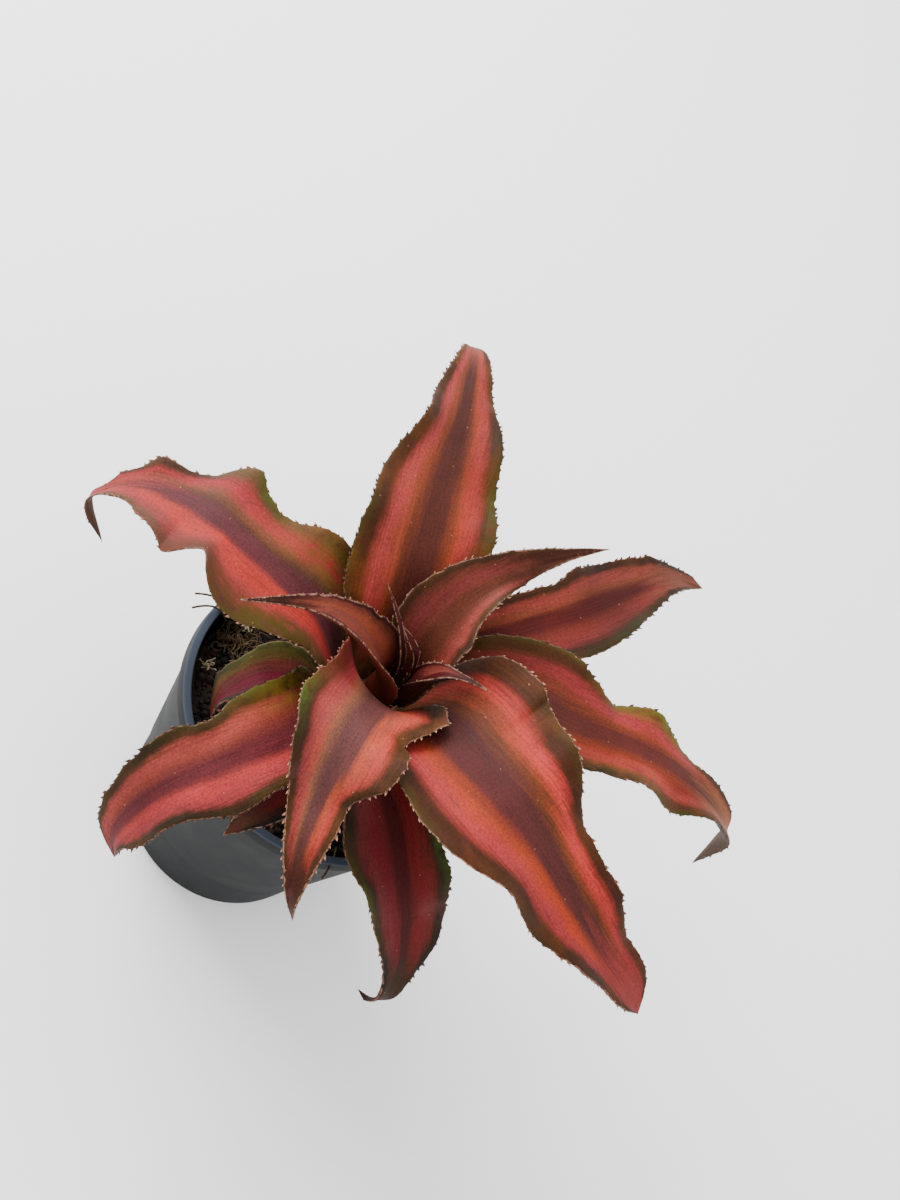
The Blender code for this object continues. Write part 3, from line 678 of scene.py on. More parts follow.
leaf02 = {  # front, hanging over the rim
    "azimuth": -33, "colours": "5d0f12 580f17 581812 581b1b 350707 411408 251607 281807",
    "midrib": ((5.2, -1, 50.5), (9.5, -1.4, 56.8), (15, -1.4, 60), (20, -0.9, 60.8), (26.2, -0.6, 59.5),
               (32, 0, 56.5), (37.2, 1.4, 51.5), (42.3, 2.4, 45), (45.1, 1.9, 40), (44.7, 0.4, 36.5),
               (42.5, -0.6, 35)),
    "left": ((0, 4), (0.25, 6.5), (0.38, 7.2), (0.5, 8.8), (0.6, 8.2), (0.7, 6.7), (0.8, 3.5), (0.9, 1.8),
             (1, 0)),
    "right": ((0, 4), (0.15, 5.5), (0.3, 10.5), (0.4, 11.5), (0.52, 7.8), (0.65, 5.4), (0.8, 3.1),
              (0.9, 1.9), (1, 0)),
    "channel": ((0, 45), (0.35, 24), (0.7, 16), (1, 20)),
    "waves": ((-1, 0.5, 1.5, 0.07), (1, 0.62, -1, 0.08)),
    "centreWidth": 0.2, "oliveRight": 0.4, "marginLeft": 0.71, "marginRight": 0.77, "tipStart": 0.66,
    "paintedShading": (1.2, 0.95, 1, 0.85, 1),
    "patches": (("37451b", 1, 0.4, 0.13, 0.7, 0.95), ("3a3d10", -1, 0.5, 0.1, 0.76, 0.85),
                ("2f390e", 1, 0.2, 0.09, 0.66, 0.8), ("653d3b", 1, 0.6, 0.035, 0.2, 0.3)),
}

leaf03 = {  # a small one at the back of the front left
    "azimuth": -150, "colours": "56071c 57261f 55171f 523e1e 511e1c 511e1c 1a2015 3f1311",
    "midrib": ((5.4, -1, 49), (9.2, -1.8, 54.5), (14, -1.2, 57.3), (19.5, 1.2, 57.3), (23, 5, 54.5),
               (23.5, 9, 50.5)),
    "left": ((0, 3.2), (0.5, 5), (0.8, 4.4), (1, 0)),
    "right": ((0, 3.6), (0.35, 4.6), (0.5, 5.2), (0.65, 3.8), (0.84, 4), (0.93, 2.8), (1, 0)),
    "channel": ((0, 45), (0.4, 30), (1, 20)),
    "centreWidth": 0.12, "centreStrength": 0.6, "oliveLeft": 0.1, "oliveRight": 0.6, "marginLeft": 0.75,
    "marginRight": 0.75, "tipStart": 0.78, "paintedShading": (1, 1.2, 1, 0.8, 1),
    "patches": (("555024", -1, 0.5, 0.3, 0.5, 0.75),),
}

leaf04 = {  # behind, long and brick red
    "azimuth": 74, "colours": "652e1e 551a14 6e2b23 5a1c19 360807 431907 2c1707 57291b",
    "midrib": ((5.4, 0.6, 49.5), (10.7, 2.4, 56.2), (19.5, 2.6, 63), (32.7, 0.6, 69), (41, -0.8, 71),
               (52.6, -1, 70), (65.9, -0.8, 67), (79.8, -4.2, 61)),
    "left": ((0, 4), (0.25, 6), (0.4, 6), (0.47, 6), (0.55, 7.8), (0.7, 6.4), (0.82, 4), (0.95, 2.2),
             (1, 0)),
    "right": ((0, 3.4), (0.1, 4.5), (0.3, 8), (0.5, 9), (0.65, 6.4), (0.8, 3.8), (0.92, 1.3), (1, 0)),
    "channel": ((0, 45), (0.3, 28), (0.7, 18), (1, 20)),
    "waves": ((1, 0.62, -1.4, 0.06), (1, 0.78, 1, 0.05), (-1, 0.6, 1.5, 0.07)),
    "centreStrength": 0.9, "oliveRight": 0.3, "marginLeft": 0.73, "marginRight": 0.71, "tipStart": 0.66,
    "paintedShading": (1, 1.35, 0.72, 1.14, 1),
    "patches": (("252807", -1, 0.6, 0.12, 0.72, 0.9), ("281e07", -1, 0.85, 0.08, 0.75, 0.5)),
}

leaf05 = {  # right, its end curled under
    "azimuth": 36, "colours": "69251a 5f1707 792526 78271e 401713 59270e 48230b 7c4528",
    "midrib": ((5.2, 0.8, 53), (9.5, 3, 61), (17, 4.2, 68.4), (24.2, 3.4, 72), (30, 1, 74), (37.9, 0, 75),
               (48.5, 0, 73), (58.9, -0.3, 69), (67.6, -1.3, 64), (73, -3.2, 59), (71.5, -6.5, 51)),
    "left": ((0, 4.5), (0.2, 10), (0.37, 10.6), (0.46, 7.4), (0.55, 7.8), (0.68, 5), (0.82, 4.2),
             (0.9, 3.4), (0.96, 1.4), (1, 0)),
    "right": ((0, 4.5), (0.2, 7.5), (0.45, 8.4), (0.56, 7.4), (0.64, 8.2), (0.75, 5.7), (0.88, 3),
              (0.95, 1.2), (1, 0)),
    "channel": ((0, 50), (0.3, 28), (0.6, 12), (1, 40)),
    "waves": ((1, 0.49, -2.2, 0.045), (1, 0.57, 1.6, 0.04), (1, 0.7, -1.3, 0.05), (-1, 0.52, 1.5, 0.06),
              (-1, 0.66, -1.6, 0.05), (-1, 0.78, 1.2, 0.05)),
    "oliveLeft": 0.7, "marginLeft": 0.75, "marginRight": 0.73, "tipStart": 0.68, "underside": "4a3c34",
    "silver": "857b6f", "silverBelow": 0.9, "paintedShading": (0.82, 0.93, 1.35, 0.74, 1),
    "patches": (("2d450e", 1, 0.58, 0.12, 0.74, 0.9), ("2d450e", 1, 0.3, 0.1, 0.82, 0.6),
                ("554c19", 1, 0.6, 0.1, 0.56, 0.6), ("333c09", -1, 0.66, 0.08, 0.8, 0.8),
                ("3c2807", 1, 0.14, 0.12, 0.3, 0.8), ("1a1c07", -1, 0.44, 0.11, 0.7, 0.95),
                ("152507", 1, 0.8, 0.1, 0.78, 0.85), ("1b2507", -1, 0.8, 0.1, 0.8, 0.7)),
}

leaf06 = {  # front left, folded over near its end
    "azimuth": -105, "colours": "962d2d 783025 7f2a2b 85352e 4d1c20 542a22 2f1f0b 521d1c",
    "midrib": ((5.6, -0.6, 53), (10.6, -0.6, 60.2), (17.5, 0.6, 66), (24.3, 0.8, 68), (31.9, 0.4, 69),
               (36.9, 0.1, 68), (42.8, -0.2, 65), (46.2, -0.1, 60), (48.2, 1, 54), (48.2, 4, 48)),
    "left": ((0, 4.5), (0.3, 7), (0.45, 7.6), (0.57, 8.6), (0.7, 6.2), (0.8, 6), (0.88, 4.6), (0.95, 1.8),
             (1, 0)),
    "right": ((0, 3.6), (0.1, 6.4), (0.18, 10), (0.28, 9.8), (0.45, 9.2), (0.55, 6.8), (0.65, 7.6),
              (0.8, 5.6), (0.93, 3.4), (1, 0)),
    "channel": ((0, 50), (0.3, 30), (0.6, 15), (1, 25)),
    "waves": ((-1, 0.45, -1.2, 0.07), (-1, 0.62, 1.4, 0.05), (1, 0.58, -1.5, 0.07), (1, 0.74, 1.2, 0.05)),
    "centreWidth": 0.3, "oliveLeft": 0.4, "oliveRight": 0.4, "marginLeft": 0.77, "marginRight": 0.73,
    "tipStart": 0.84, "paintedShading": (1.04, 1.34, 1.03, 0.73, 1),
    "patches": (("1c2018", -1, 0.18, 0.12, 0.7, 0.9), ("26410e", -1, 0.38, 0.08, 0.8, 0.9),
                ("705615", -1, 0.25, 0.14, 0.35, 0.6), ("242d0a", -1, 0.6, 0.14, 0.82, 0.6)),
}

leaf07 = {  # left, its end curled under
    **paleSpines, "azimuth": -165, "colours": "982923 6a3625 7d2d29 872729 451e22 2a2514 492f1e 832d2a",
    "midrib": ((5, -0.6, 55.6), (9.4, -1.2, 62.4), (17, -1.4, 70.8), (24.4, 0.6, 75.5), (30.8, 0.9, 77),
               (37.5, 0.2, 77), (43.7, -1.1, 75), (50.9, -1.3, 71), (55.8, 0.4, 66), (57.5, 0.4, 60),
               (51.8, 0, 51)),
    "left": ((0, 3.8), (0.1, 5.4), (0.2, 8.4), (0.3, 9), (0.4, 12), (0.45, 12.8), (0.485, 11.4),
             (0.512, 8.4), (0.56, 10.8), (0.65, 8), (0.7, 6.4), (0.77, 2.4), (0.82, 0.9), (0.9, 1.2),
             (1, 0)),
    "right": ((0, 4.5), (0.2, 10.2), (0.3, 12), (0.43, 9.6), (0.49, 9.4), (0.545, 10.8), (0.58, 9.6),
              (0.62, 7.2), (0.66, 5.2), (0.7, 5.2), (0.735, 3.8), (0.77, 3.4), (0.81, 1.4), (0.9, 1.2),
              (1, 0)),
    "channel": ((0, 55), (0.25, 30), (0.5, 12), (0.75, 20), (1, 60)),
    "waves": ((1, 0.4, -2.2, 0.05), (1, 0.5, 3, 0.035), (1, 0.58, -1.6, 0.035), (-1, 0.43, -1.4, 0.05),
              (-1, 0.555, 1.8, 0.035), (-1, 0.615, -1.8, 0.035), (-1, 0.69, 1.5, 0.03)),
    "centreWidth": 0.26, "oliveLeft": 0.25, "oliveRight": 0.7, "marginLeft": 0.79, "marginRight": 0.75,
    "tipStart": 0.62, "underside": "4b3327", "silverBelow": 0.6, "jag": 1.2,
    "paintedShading": (1.3, 1.1, 0.85, 0.85, 1),
    "patches": (("3a4510", -1, 0.5, 0.07, 0.72, 0.9), ("57281c", -1, 0.34, 0.07, 0.7, 0.7),
                ("564417", -1, 0.26, 0.16, 0.2, 0.65), ("721e2e", 1, 0.5, 0.14, 0.5, 0.6),
                ("3b3009", 1, 0.36, 0.22, 0.5, 0.9), ("354512", 1, 0.42, 0.05, 0.84, 0.6)),
}

leaf08 = {  # the tallest in the view, behind
    "azimuth": 124, "colours": "762f1e 9c3225 88302c 862a24 3b1913 4b2a07 432007 6e3025",
    "midrib": ((5, 0.5, 59), (7.3, 1, 65.5), (13.8, 1.8, 73.5), (22.2, 3, 79), (33.4, 2.6, 81),
               (47.8, 0.1, 80), (59.2, -1.5, 77), (70, -3.5, 72.2), (75.4, -4.8, 66.4)),
    "left": ((0, 5), (0.2, 13), (0.3, 13), (0.45, 10), (0.55, 7.4), (0.7, 5.6), (0.8, 3.9), (0.92, 1.9),
             (1, 0)),
    "right": ((0, 5), (0.2, 10.6), (0.38, 11.6), (0.5, 10.3), (0.65, 7), (0.8, 4.6), (0.92, 2.7), (1, 0)),
    "channel": ((0, 60), (0.25, 30), (0.6, 15), (1, 20)),
    "waves": ((1, 0.34, 1.2, 0.04), (1, 0.43, -1.4, 0.05), (1, 0.57, 1.8, 0.05), (1, 0.7, -1.2, 0.05),
              (-1, 0.36, 1, 0.05), (-1, 0.47, -1.5, 0.05), (-1, 0.6, 1.2, 0.05), (-1, 0.73, -1, 0.05)),
    "centreAt": -0.04, "centreWidth": 0.3, "oliveLeft": 0.45, "oliveRight": 0.7, "marginLeft": 0.69,
    "marginRight": 0.71, "tipStart": 0.78, "paintedShading": (1.35, 0.9, 0.72, 0.75, 1),
    "patches": (("333c09", -1, 0.45, 0.12, 0.74, 0.95), ("323607", 1, 0.3, 0.1, 0.8, 0.6),
                ("362a0b", 1, 0.6, 0.2, 0.78, 0.6), ("1c1c07", -1, 0.64, 0.1, 0.8, 0.8)),
}

leaf09 = {  # the broadest, front right
    **paleSpines, "azimuth": -8, "colours": "8e2823 992d19 9a2d28 822827 3a1818 472b07 3a1b07 732522",
    "midrib": ((5, 0, 58), (6.2, 0, 64), (8.2, -0.4, 69.5), (11.5, -1.2, 74), (16.4, -2.7, 77.6),
               (26.2, -3.3, 81), (35.7, -2.2, 80), (45.2, -0.7, 77), (53.3, 1.1, 73), (61, 4.5, 68),
               (68, 8.2, 61.6)),
    "left": ((0, 5), (0.1, 12), (0.17, 17.5), (0.24, 18.4), (0.32, 16.8), (0.45, 14), (0.52, 11),
             (0.58, 9.4), (0.65, 7.9), (0.72, 7.6), (0.8, 6.3), (0.93, 4.4), (1, 0)),
    "right": ((0, 5), (0.15, 11), (0.3, 15.4), (0.4, 16.6), (0.5, 12.4), (0.62, 10.5), (0.8, 4.9),
              (0.93, 2.6), (1, 0)),
    "channel": ((0, 60), (0.25, 34), (0.6, 18), (1, 20)),
    "waves": ((1, 0.42, 1.4, 0.05), (1, 0.55, -1.8, 0.05), (1, 0.68, 1.4, 0.05), (1, 0.82, -1, 0.04),
              (-1, 0.36, -1.2, 0.08), (-1, 0.52, 1.4, 0.04), (-1, 0.64, -1.4, 0.05), (-1, 0.76, 1.2, 0.05)),
    "centreAt": 0.05, "centreWidth": 0.31, "oliveLeft": 0.85, "oliveRight": 0.45, "marginLeft": 0.73,
    "marginRight": 0.69, "tipStart": 0.68, "paintedShading": (0.99, 1.13, 1.03, 0.88, 1),
    "patches": (("333c09", -1, 0.3, 0.08, 0.8, 0.6), ("3a390c", 1, 0.42, 0.18, 0.84, 0.5),
                ("2c2107", -1, 0.62, 0.1, 0.74, 0.8)),
}

leaf10 = {  # front, bent down at its end, its brown tip darkened further as painted shade of the downward bend
    **paleSpines, "azimuth": -83, "colours": "ad3a22 92392f 99342b 81312d 4b2a29 5c462d 3c200a 301107",
    "midrib": ((4.6, -0.5, 60.5), (4.8, -0.8, 66.5), (6.5, -1.2, 71.4), (10.5, -1.4, 75.2),
               (17.7, -1.6, 79.8), (25.8, -0.8, 81.5), (31.4, 0.6, 80.5), (36.6, 2.8, 78), (40, 5.8, 74),
               (42.1, 8.6, 70), (42, 11.7, 65)),
    "left": ((0, 4), (0.08, 7.2), (0.14, 11.4), (0.2, 12.4), (0.25, 10.8), (0.31, 8.8), (0.42, 9.8),
             (0.54, 9.2), (0.62, 5.4), (0.72, 4.8), (0.85, 2.5), (1, 0)),
    "right": ((0, 4.4), (0.08, 7.2), (0.14, 10.6), (0.2, 11), (0.3, 10), (0.46, 10.8), (0.56, 8),
              (0.65, 4.6), (0.78, 2.4), (0.9, 0.8), (1, 0)),
    "channel": ((0, 65), (0.12, 60), (0.25, 36), (0.6, 20), (1, 35)),
    "waves": ((1, 0.12, 2.4, 0.05), (1, 0.22, 1.2, 0.05), (1, 0.32, -2, 0.05), (1, 0.46, 1.2, 0.05),
              (1, 0.62, -1.2, 0.05), (-1, 0.4, -1.2, 0.06), (-1, 0.53, 1.2, 0.06), (-1, 0.67, -0.8, 0.05)),
    "centreAt": 0.06, "centreWidth": 0.31, "oliveLeft": 0.35, "oliveRight": 0.75, "marginLeft": 0.71,
    "marginRight": 0.71, "tipStart": 0.66, "bleed": 0.25, "paintedShading": (1.21, 1.03, 0.72, 1.24, 1),
    "patches": (("32450a", -1, 0.46, 0.07, 0.72, 0.95), ("751e2b", -1, 0.22, 0.12, 0.35, 0.5),
                ("333c09", 1, 0.36, 0.05, 0.82, 0.6)),
}

leaf11 = {  # young, channelled, with a long grey end
    **youngLook, "azimuth": 90, "colours": "632423 6c2b24 57261c 763029 4b2215 502817 38200d 301207",
    "midrib": ((4, 0, 62), (4.4, 0.2, 67.5), (5.7, 1, 72), (8.8, 2.1, 76.3), (13.9, 2.4, 80.3),
               (18.2, 1.7, 82.5), (25.1, -0.3, 85), (31.8, -3.3, 87), (40, -7, 87)),
    "left": ((0, 4.2), (0.2, 7.6), (0.32, 9.2), (0.45, 7.2), (0.6, 4.6), (0.8, 1.8), (0.92, 0.7), (1, 0)),
    "right": ((0, 4.2), (0.2, 7.4), (0.33, 7.4), (0.42, 5), (0.52, 3.6), (0.65, 2.2), (0.8, 0.9),
              (0.9, 0.4), (1, 0)),
    "channel": ((0, 60), (0.2, 76), (0.45, 45), (0.7, 32), (1, 30)),
    "waves": ((1, 0.5, -0.8, 0.06), (-1, 0.5, 1, 0.05), (-1, 0.64, -1, 0.06)),
    "centreAt": -0.05, "oliveLeft": 0.4, "oliveRight": 0.6, "marginLeft": 0.8, "tipStart": 0.5,
    # the near-black underside is painted shade inside the heart
    "scurf": 0.15, "scurfStart": 0.62, "underside": "1c0707", "paintedShading": (0.85, 1, 1, 1.05, 0.9),
}

leaf12 = {  # young, channelled, edged in pale scurf
    **youngLook, "azimuth": -143, "colours": "602a1e 763422 602822 632d1f 672f26 673123 2a0707 2d1007",
    "midrib": ((3.4, 0, 64), (3.4, -0.3, 69.5), (5.2, -0.8, 73.6), (9, -1.3, 77.7), (13.7, -1.7, 81.4),
               (19, -0.8, 84.3), (26.7, 1.7, 87), (35.2, 4.5, 88)),
    "left": ((0, 3.8), (0.15, 5.8), (0.3, 5.8), (0.5, 3.6), (0.62, 2), (0.72, 1), (0.88, 0.4), (1, 0)),
    "right": ((0, 3.5), (0.15, 5), (0.28, 5.8), (0.42, 4.4), (0.52, 3.2), (0.7, 2), (0.85, 0.9), (1, 0)),
    "channel": ((0, 60), (0.15, 80), (0.35, 60), (0.65, 50), (1, 45)),
    "centreWidth": 0.2, "marginLeft": 0.82, "marginRight": 0.82, "scurf": 0.15, "scurfStart": 0.6,
    "underside": "461a10", "spineLength": 0.55,
}

leaf13 = {  # young, still upright in the heart, its right half painted dark as the shaded side
    **youngLook, "azimuth": 14, "colours": "672d28 390707 6c312a 2e0707 350707 3f1008 260707 2a0e07",
    "midrib": ((2.6, 0, 66), (2.7, 0.2, 70.5), (3.2, 0.5, 75.5), (5, 0.8, 79.8), (8, 0.6, 82.3),
               (11.3, 0, 84)),
    "left": ((0, 2.4), (0.3, 3.4), (0.5, 3), (0.62, 1.9), (0.72, 0.9), (0.85, 0.45), (1, 0)),
    "right": ((0, 2.6), (0.3, 3.8), (0.5, 3), (0.62, 1.9), (0.72, 0.9), (0.85, 0.45), (1, 0)),
    "channel": ((0, 60), (0.3, 90), (0.6, 60), (1, 50)),
    "centreWidth": 0.2, "marginLeft": 0.82, "marginRight": 0.82, "scurf": 0.1, "scurfStart": 0.55,
    # the near-black underside is painted shade inside the heart
    "underside": "1f0707", "silverBelow": 0.5, "spineLength": 0.55, "paintedShading": (0.9, 1, 1, 1, 1),
}

leaf14 = {  # a furled spike of the heart, near black all over as painted shade
    **heartLook, "azimuth": -176, "colours": "1e0707 1e0707 270707 270707 130707 1e0707 2b0707 360707",
    "midrib": ((1.6, 0, 67.6), (1.8, 0, 72), (3.5, 0, 77), (7, 0, 82), (13.4, 0, 87.6)),
    "left": ((0, 1.3), (0.3, 1.6), (0.5, 1.1), (0.75, 0.5), (1, 0)),
    "right": ((0, 1.3), (0.3, 1.4), (0.5, 0.8), (0.75, 0.5), (1, 0)),
    "channel": ((0, 60), (0.4, 75), (1, 75)),
}

leaf15 = {  # the smallest of the heart, near black all over as painted shade
    **heartLook, "azimuth": 160, "colours": "2b0707 2b0707 340707 340707 130707 2b0707 360707 360707",
    "midrib": ((-0.6, -0.9, 70), (0, -1.3, 73), (1.9, -1.7, 75.4), (4.3, -1.3, 76.8), (7.2, -0.2, 78.2)),
    "left": ((0, 0.6), (0.5, 0.4), (0.75, 0.7), (1, 0)),
    "right": ((0, 0.5), (0.35, 0.5), (0.6, 1), (1, 0)),
    "channel": ((0, 30), (1, 60)),
}

leaves = (leaf01, leaf02, leaf03, leaf04, leaf05, leaf06, leaf07, leaf08,
          leaf09, leaf10, leaf11, leaf12, leaf13, leaf14, leaf15)
for number, leaf in enumerate(leaves, 1):
    makeLeaf(f"leaf_{number:02d}", leaf, number)


def turnedMesh(name, profile, segments):
    # a closed turned mesh from a profile of (radius, height) in mm that starts and ends on the axis
    mesh = bmesh.new()
    rings = []
    angles = [2 * math.pi * k / segments for k in range(segments)]
    for radius, height in profile:
        radius, height = radius * mm, height * mm
        if radius < 1e-7:
            rings.append([mesh.verts.new((0, 0, height))])
            continue
        rings.append([mesh.verts.new((radius * math.cos(a), radius * math.sin(a), height)) for a in angles])
    for low, high in zip(rings, rings[1:]):
        for k in range(segments):
            n = (k + 1) % segments
            loop = [low[k % len(low)], low[n % len(low)], high[n % len(high)], high[k % len(high)]]
            mesh.faces.new(list(dict.fromkeys(loop)))
    bmesh.ops.recalc_face_normals(mesh, faces=mesh.faces)
    return meshFrom(name, mesh)


def smoothed(data, angle):
    data.shade_smooth()
    data.set_sharp_from_angle(angle=math.radians(angle))


nurseryPot = {  # mm
    "height": 50, "rimRadius": 27.5, "footRadius": 20, "wall": 0.8, "floor": 1.2, "lipWidth": 0.7,
    "lipDepth": 3.2, "lipRound": 0.35, "lipSlope": (0.1, 1.2), "drains": 6, "drainRadius": 2.4,
    "drainCircle": 13.5, "drainDepth": 8, "footGroove": 0.35, "grooveAt": 0.28, "footRing": 3,
    "segments": 192, "sharpAngle": 35,
    "lipHighlightFade": (0.0495, 0.04995),  # the heights in metres between which the wall turns to the painted highlight along the rim's top
    # the inside colour is painted shade, near black
    "colour": "0e1011", "worn": "15181a", "inside": "040404", "lip": "3c4450",
}


def potInner(height):
    # the inner radius of the pot at a height
    pot = nurseryPot
    widening = pot["rimRadius"] - pot["lipWidth"] - pot["footRadius"]
    return pot["footRadius"] + widening * height / pot["height"] - pot["wall"]


def rounded(profile, radius, steps=4):
    # the profile with each inner corner turned into an arc of short steps
    made = [profile[0]]
    for before, corner, after in zip(profile, profile[1:], profile[2:]):
        a, b, c = Vector(before), Vector(corner), Vector(after)
        reach = min(radius, (a - b).length * 0.45, (c - b).length * 0.45)
        start, end = b + (a - b).normalized() * reach, b + (c - b).normalized() * reach
        for k in range(steps + 1):
            t = k / steps
            made.append(tuple(start * (1 - t)**2 + b * (2 * t * (1 - t)) + end * t**2))
    made.append(profile[-1])
    return made


def potMaterial():
    pot = nurseryPot
    made, base, grain, place = grained("pot_plastic", coarse=90.0, fine=2200.0, rough=0.5,
                                       bump=(0.25, 0.0001), roughBy="Coarse",
                                       Specular_IOR_Level=0.12, IOR=1.5)
    # scuffed in patches, with a painted highlight of pale blue-grey along the top of the rim, and painted
    # shade, near black, inside
    height = outputsOf(add(place.tree, "ShaderNodeSeparateXYZ", place))[2]
    lip = ramped(height, *pot["lipHighlightFade"])
    scuff = ramped(grain["Coarse"], 0.42, 0.68)
    colour = mixed(scuff, hexColour(pot["colour"]), hexColour(pot["worn"]))
    # painted highlight: pale blue-grey along the top of the rim
    colour = mixed(lip * 0.9, colour, hexColour(pot["lip"]))
    slope = (pot["rimRadius"] - pot["lipWidth"] - pot["footRadius"]) / pot["height"]
    wallMiddle = height * slope + (pot["footRadius"] - pot["wall"] * 0.5) * mm
    # painted shade: the inside of the wall below the rim's top is made near black
    inside = (maths("LENGTH", place * (1.0, 1.0, 0.0)) < wallMiddle) * (1 - lip)
    plug(base, mixed(inside, colour, hexColour(pot["inside"])))
    return made


def makePot():
    pot = nurseryPot
    top, rim, lipFoot = pot["height"], pot["rimRadius"], pot["height"] - pot["lipDepth"]
    foot, floor, groove, ring = (pot[name] for name in ("footRadius", "floor", "footGroove", "footRing"))
    wallTop = rim - pot["lipWidth"]
    grooveRadius, grooveHeight = foot + pot["grooveAt"] * (wallTop - foot), top * pot["grooveAt"]
    slopeIn, slopeDown = pot["lipSlope"]
    profile = [
        (0, floor), (potInner(floor), floor), (potInner(top) - slopeIn, top - slopeDown),
        (potInner(top), top), (rim, top), (rim, lipFoot), (wallTop, lipFoot),
        (grooveRadius, grooveHeight), (grooveRadius - groove, grooveHeight - groove),
        (foot, 0), (foot - ring, 0), (foot - ring - groove, groove), (0, groove)]
    profile = rounded(profile, pot["lipRound"])
    obj = placed("nursery_pot", turnedMesh("nursery_pot", profile, pot["segments"]))
    for k in range(pot["drains"]):
        angle = 2 * math.pi * k / pot["drains"]
        mesh = bmesh.new()
        bmesh.ops.create_cone(mesh, cap_ends=True, segments=32, radius1=pot["drainRadius"] * mm,
                              radius2=pot["drainRadius"] * mm, depth=pot["drainDepth"] * mm)
        spot = Vector((math.cos(angle), math.sin(angle), 0)) * pot["drainCircle"] * mm
        bmesh.ops.translate(mesh, verts=mesh.verts, vec=spot)
        drain = placed("drain", meshFrom("drain", mesh))
        cut = obj.modifiers.new("drain", "BOOLEAN")
        cut.operation, cut.object = "DIFFERENCE", drain
        flattened(obj)
        bpy.data.objects.remove(drain)
    smoothed(obj.data, pot["sharpAngle"])
    obj.data.materials.clear()
    obj.data.materials.append(potMaterial())
    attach(obj, "root")
    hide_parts("pot")
    print("pot", len(obj.data.polygons), "faces")


pottingMix = {  # mm
    "level": 43, "lump": 1.3, "crumbs": 2600, "crumbSize": 1.5, "strands": 34, "strandLength": 13,
    "strandWidth": 0.12, "fibreWidth": 0.2, "chips": 26, "chipSize": 1.3, "clearance": 0.25,
    "rings": 44, "segments": 150, "wallHeights": (32, 16, 3), "footBevel": 3, "underside": 1.6,
    "clump": (-22, -1, 43), "clumpReach": 6, "clumpStrands": 170, "clumpLength": 6,
    "dark": "0b0806", "brown": "2a1a10", "fineBrown": "5a4028", "moss": "2a2010", "straw": "503e24",
    "chip": "a89c7c", "chipShade": "9a8a70",
    "crumbSeed": 11, "chipSeed": 23, "strandSeed": 37, "clumpSeed": 53, "curlSeed": 5,
    # noise that moves the surface, crumbs, strands and moss: cells per metre, detail, middle value, and
    # strength in metres, or for the surface as a multiple of lump
    "lumpNoise": (230.0, 4.0, 0.45, 2.4), "crumbNoise": (900.0, 2.0, (0.5, 0.5, 0.5), 0.0011),
    "strandNoise": (130.0, 1.0, (0.5, 0.5, 0.4), (0.016, 0.016, 0.006)),
    "clumpNoise": (420.0, 1.0, (0.5, 0.5, 0.35), (0.009, 0.009, 0.006)),
    # metres in from the wall: where lumps die out, where crumbs end and where strands are held
    "calmEdge": 0.002, "bareEdge": 0.0015, "strandEdge": 0.0006, "strandSink": 0.0004, "lowest": 0.035,
    # loose fibres lying over the rim, each a line of points
    "fibres": (((-30.8, -6.4, 51.4), (-29.0, -4.2, 51.8), (-27.0, -2.4, 51.2), (-24.2, -0.8, 48)),
               ((-29.2, -8.6, 51.2), (-27.8, -5.8, 52.2), (-26.2, -3.8, 51.2), (-24.4, -2.6, 47)),
               ((17.6, -14.2, 44.5), (18.6, -18.2, 48.2), (19.2, -22.0, 50.4), (19.3, -23.4, 50.2))),
    # pale tufts: the middle of each, and how many short curls it has
    "tufts": (((-21.9, 1.4, 45.4), 30), ((-20.4, -9.3, 43.6), 16)), "tuftReach": 0.8,
    "curlLength": 1.5, "curlWidth": 0.13,
}
soilSizes = ("lump", "crumbSize", "strandLength", "strandWidth", "chipSize", "clumpReach", "clumpLength")


def soilMaterials():
    colours = {name: hexColour(shade) for name, shade in pottingMix.items() if isinstance(shade, str)}
    mix, base, grain, _ = grained("potting_mix", coarse=260.0, fine=1500.0, rough=0.7,
                                  bump=(0.7, 0.0004), Specular_IOR_Level=0.25)
    colour = mixed(ramped(grain["Coarse"], 0.35, 0.7), colours["dark"], colours["brown"])
    plug(base, mixed(ramped(grain["Fine"], 0.55, 0.8), colour, colours["fineBrown"]))
    fibre, base, grain, _ = grained("moss_fibre", coarse=160.0, fine=3000.0, rough=0.55,
                                    bump=(0.4, 0.0001), Specular_IOR_Level=0.3)
    plug(base, mixed(ramped(grain["Coarse"], 0.35, 0.65), colours["moss"], colours["straw"]))
    chip, base, grain, _ = grained("pale_chip", coarse=500.0, fine=2500.0, rough=0.6,
                                   bump=(0.6, 0.0002), Specular_IOR_Level=0.3)
    plug(base, mixed(grain["Coarse"], colours["chipShade"], colours["chip"]))
    return mix, fibre, chip


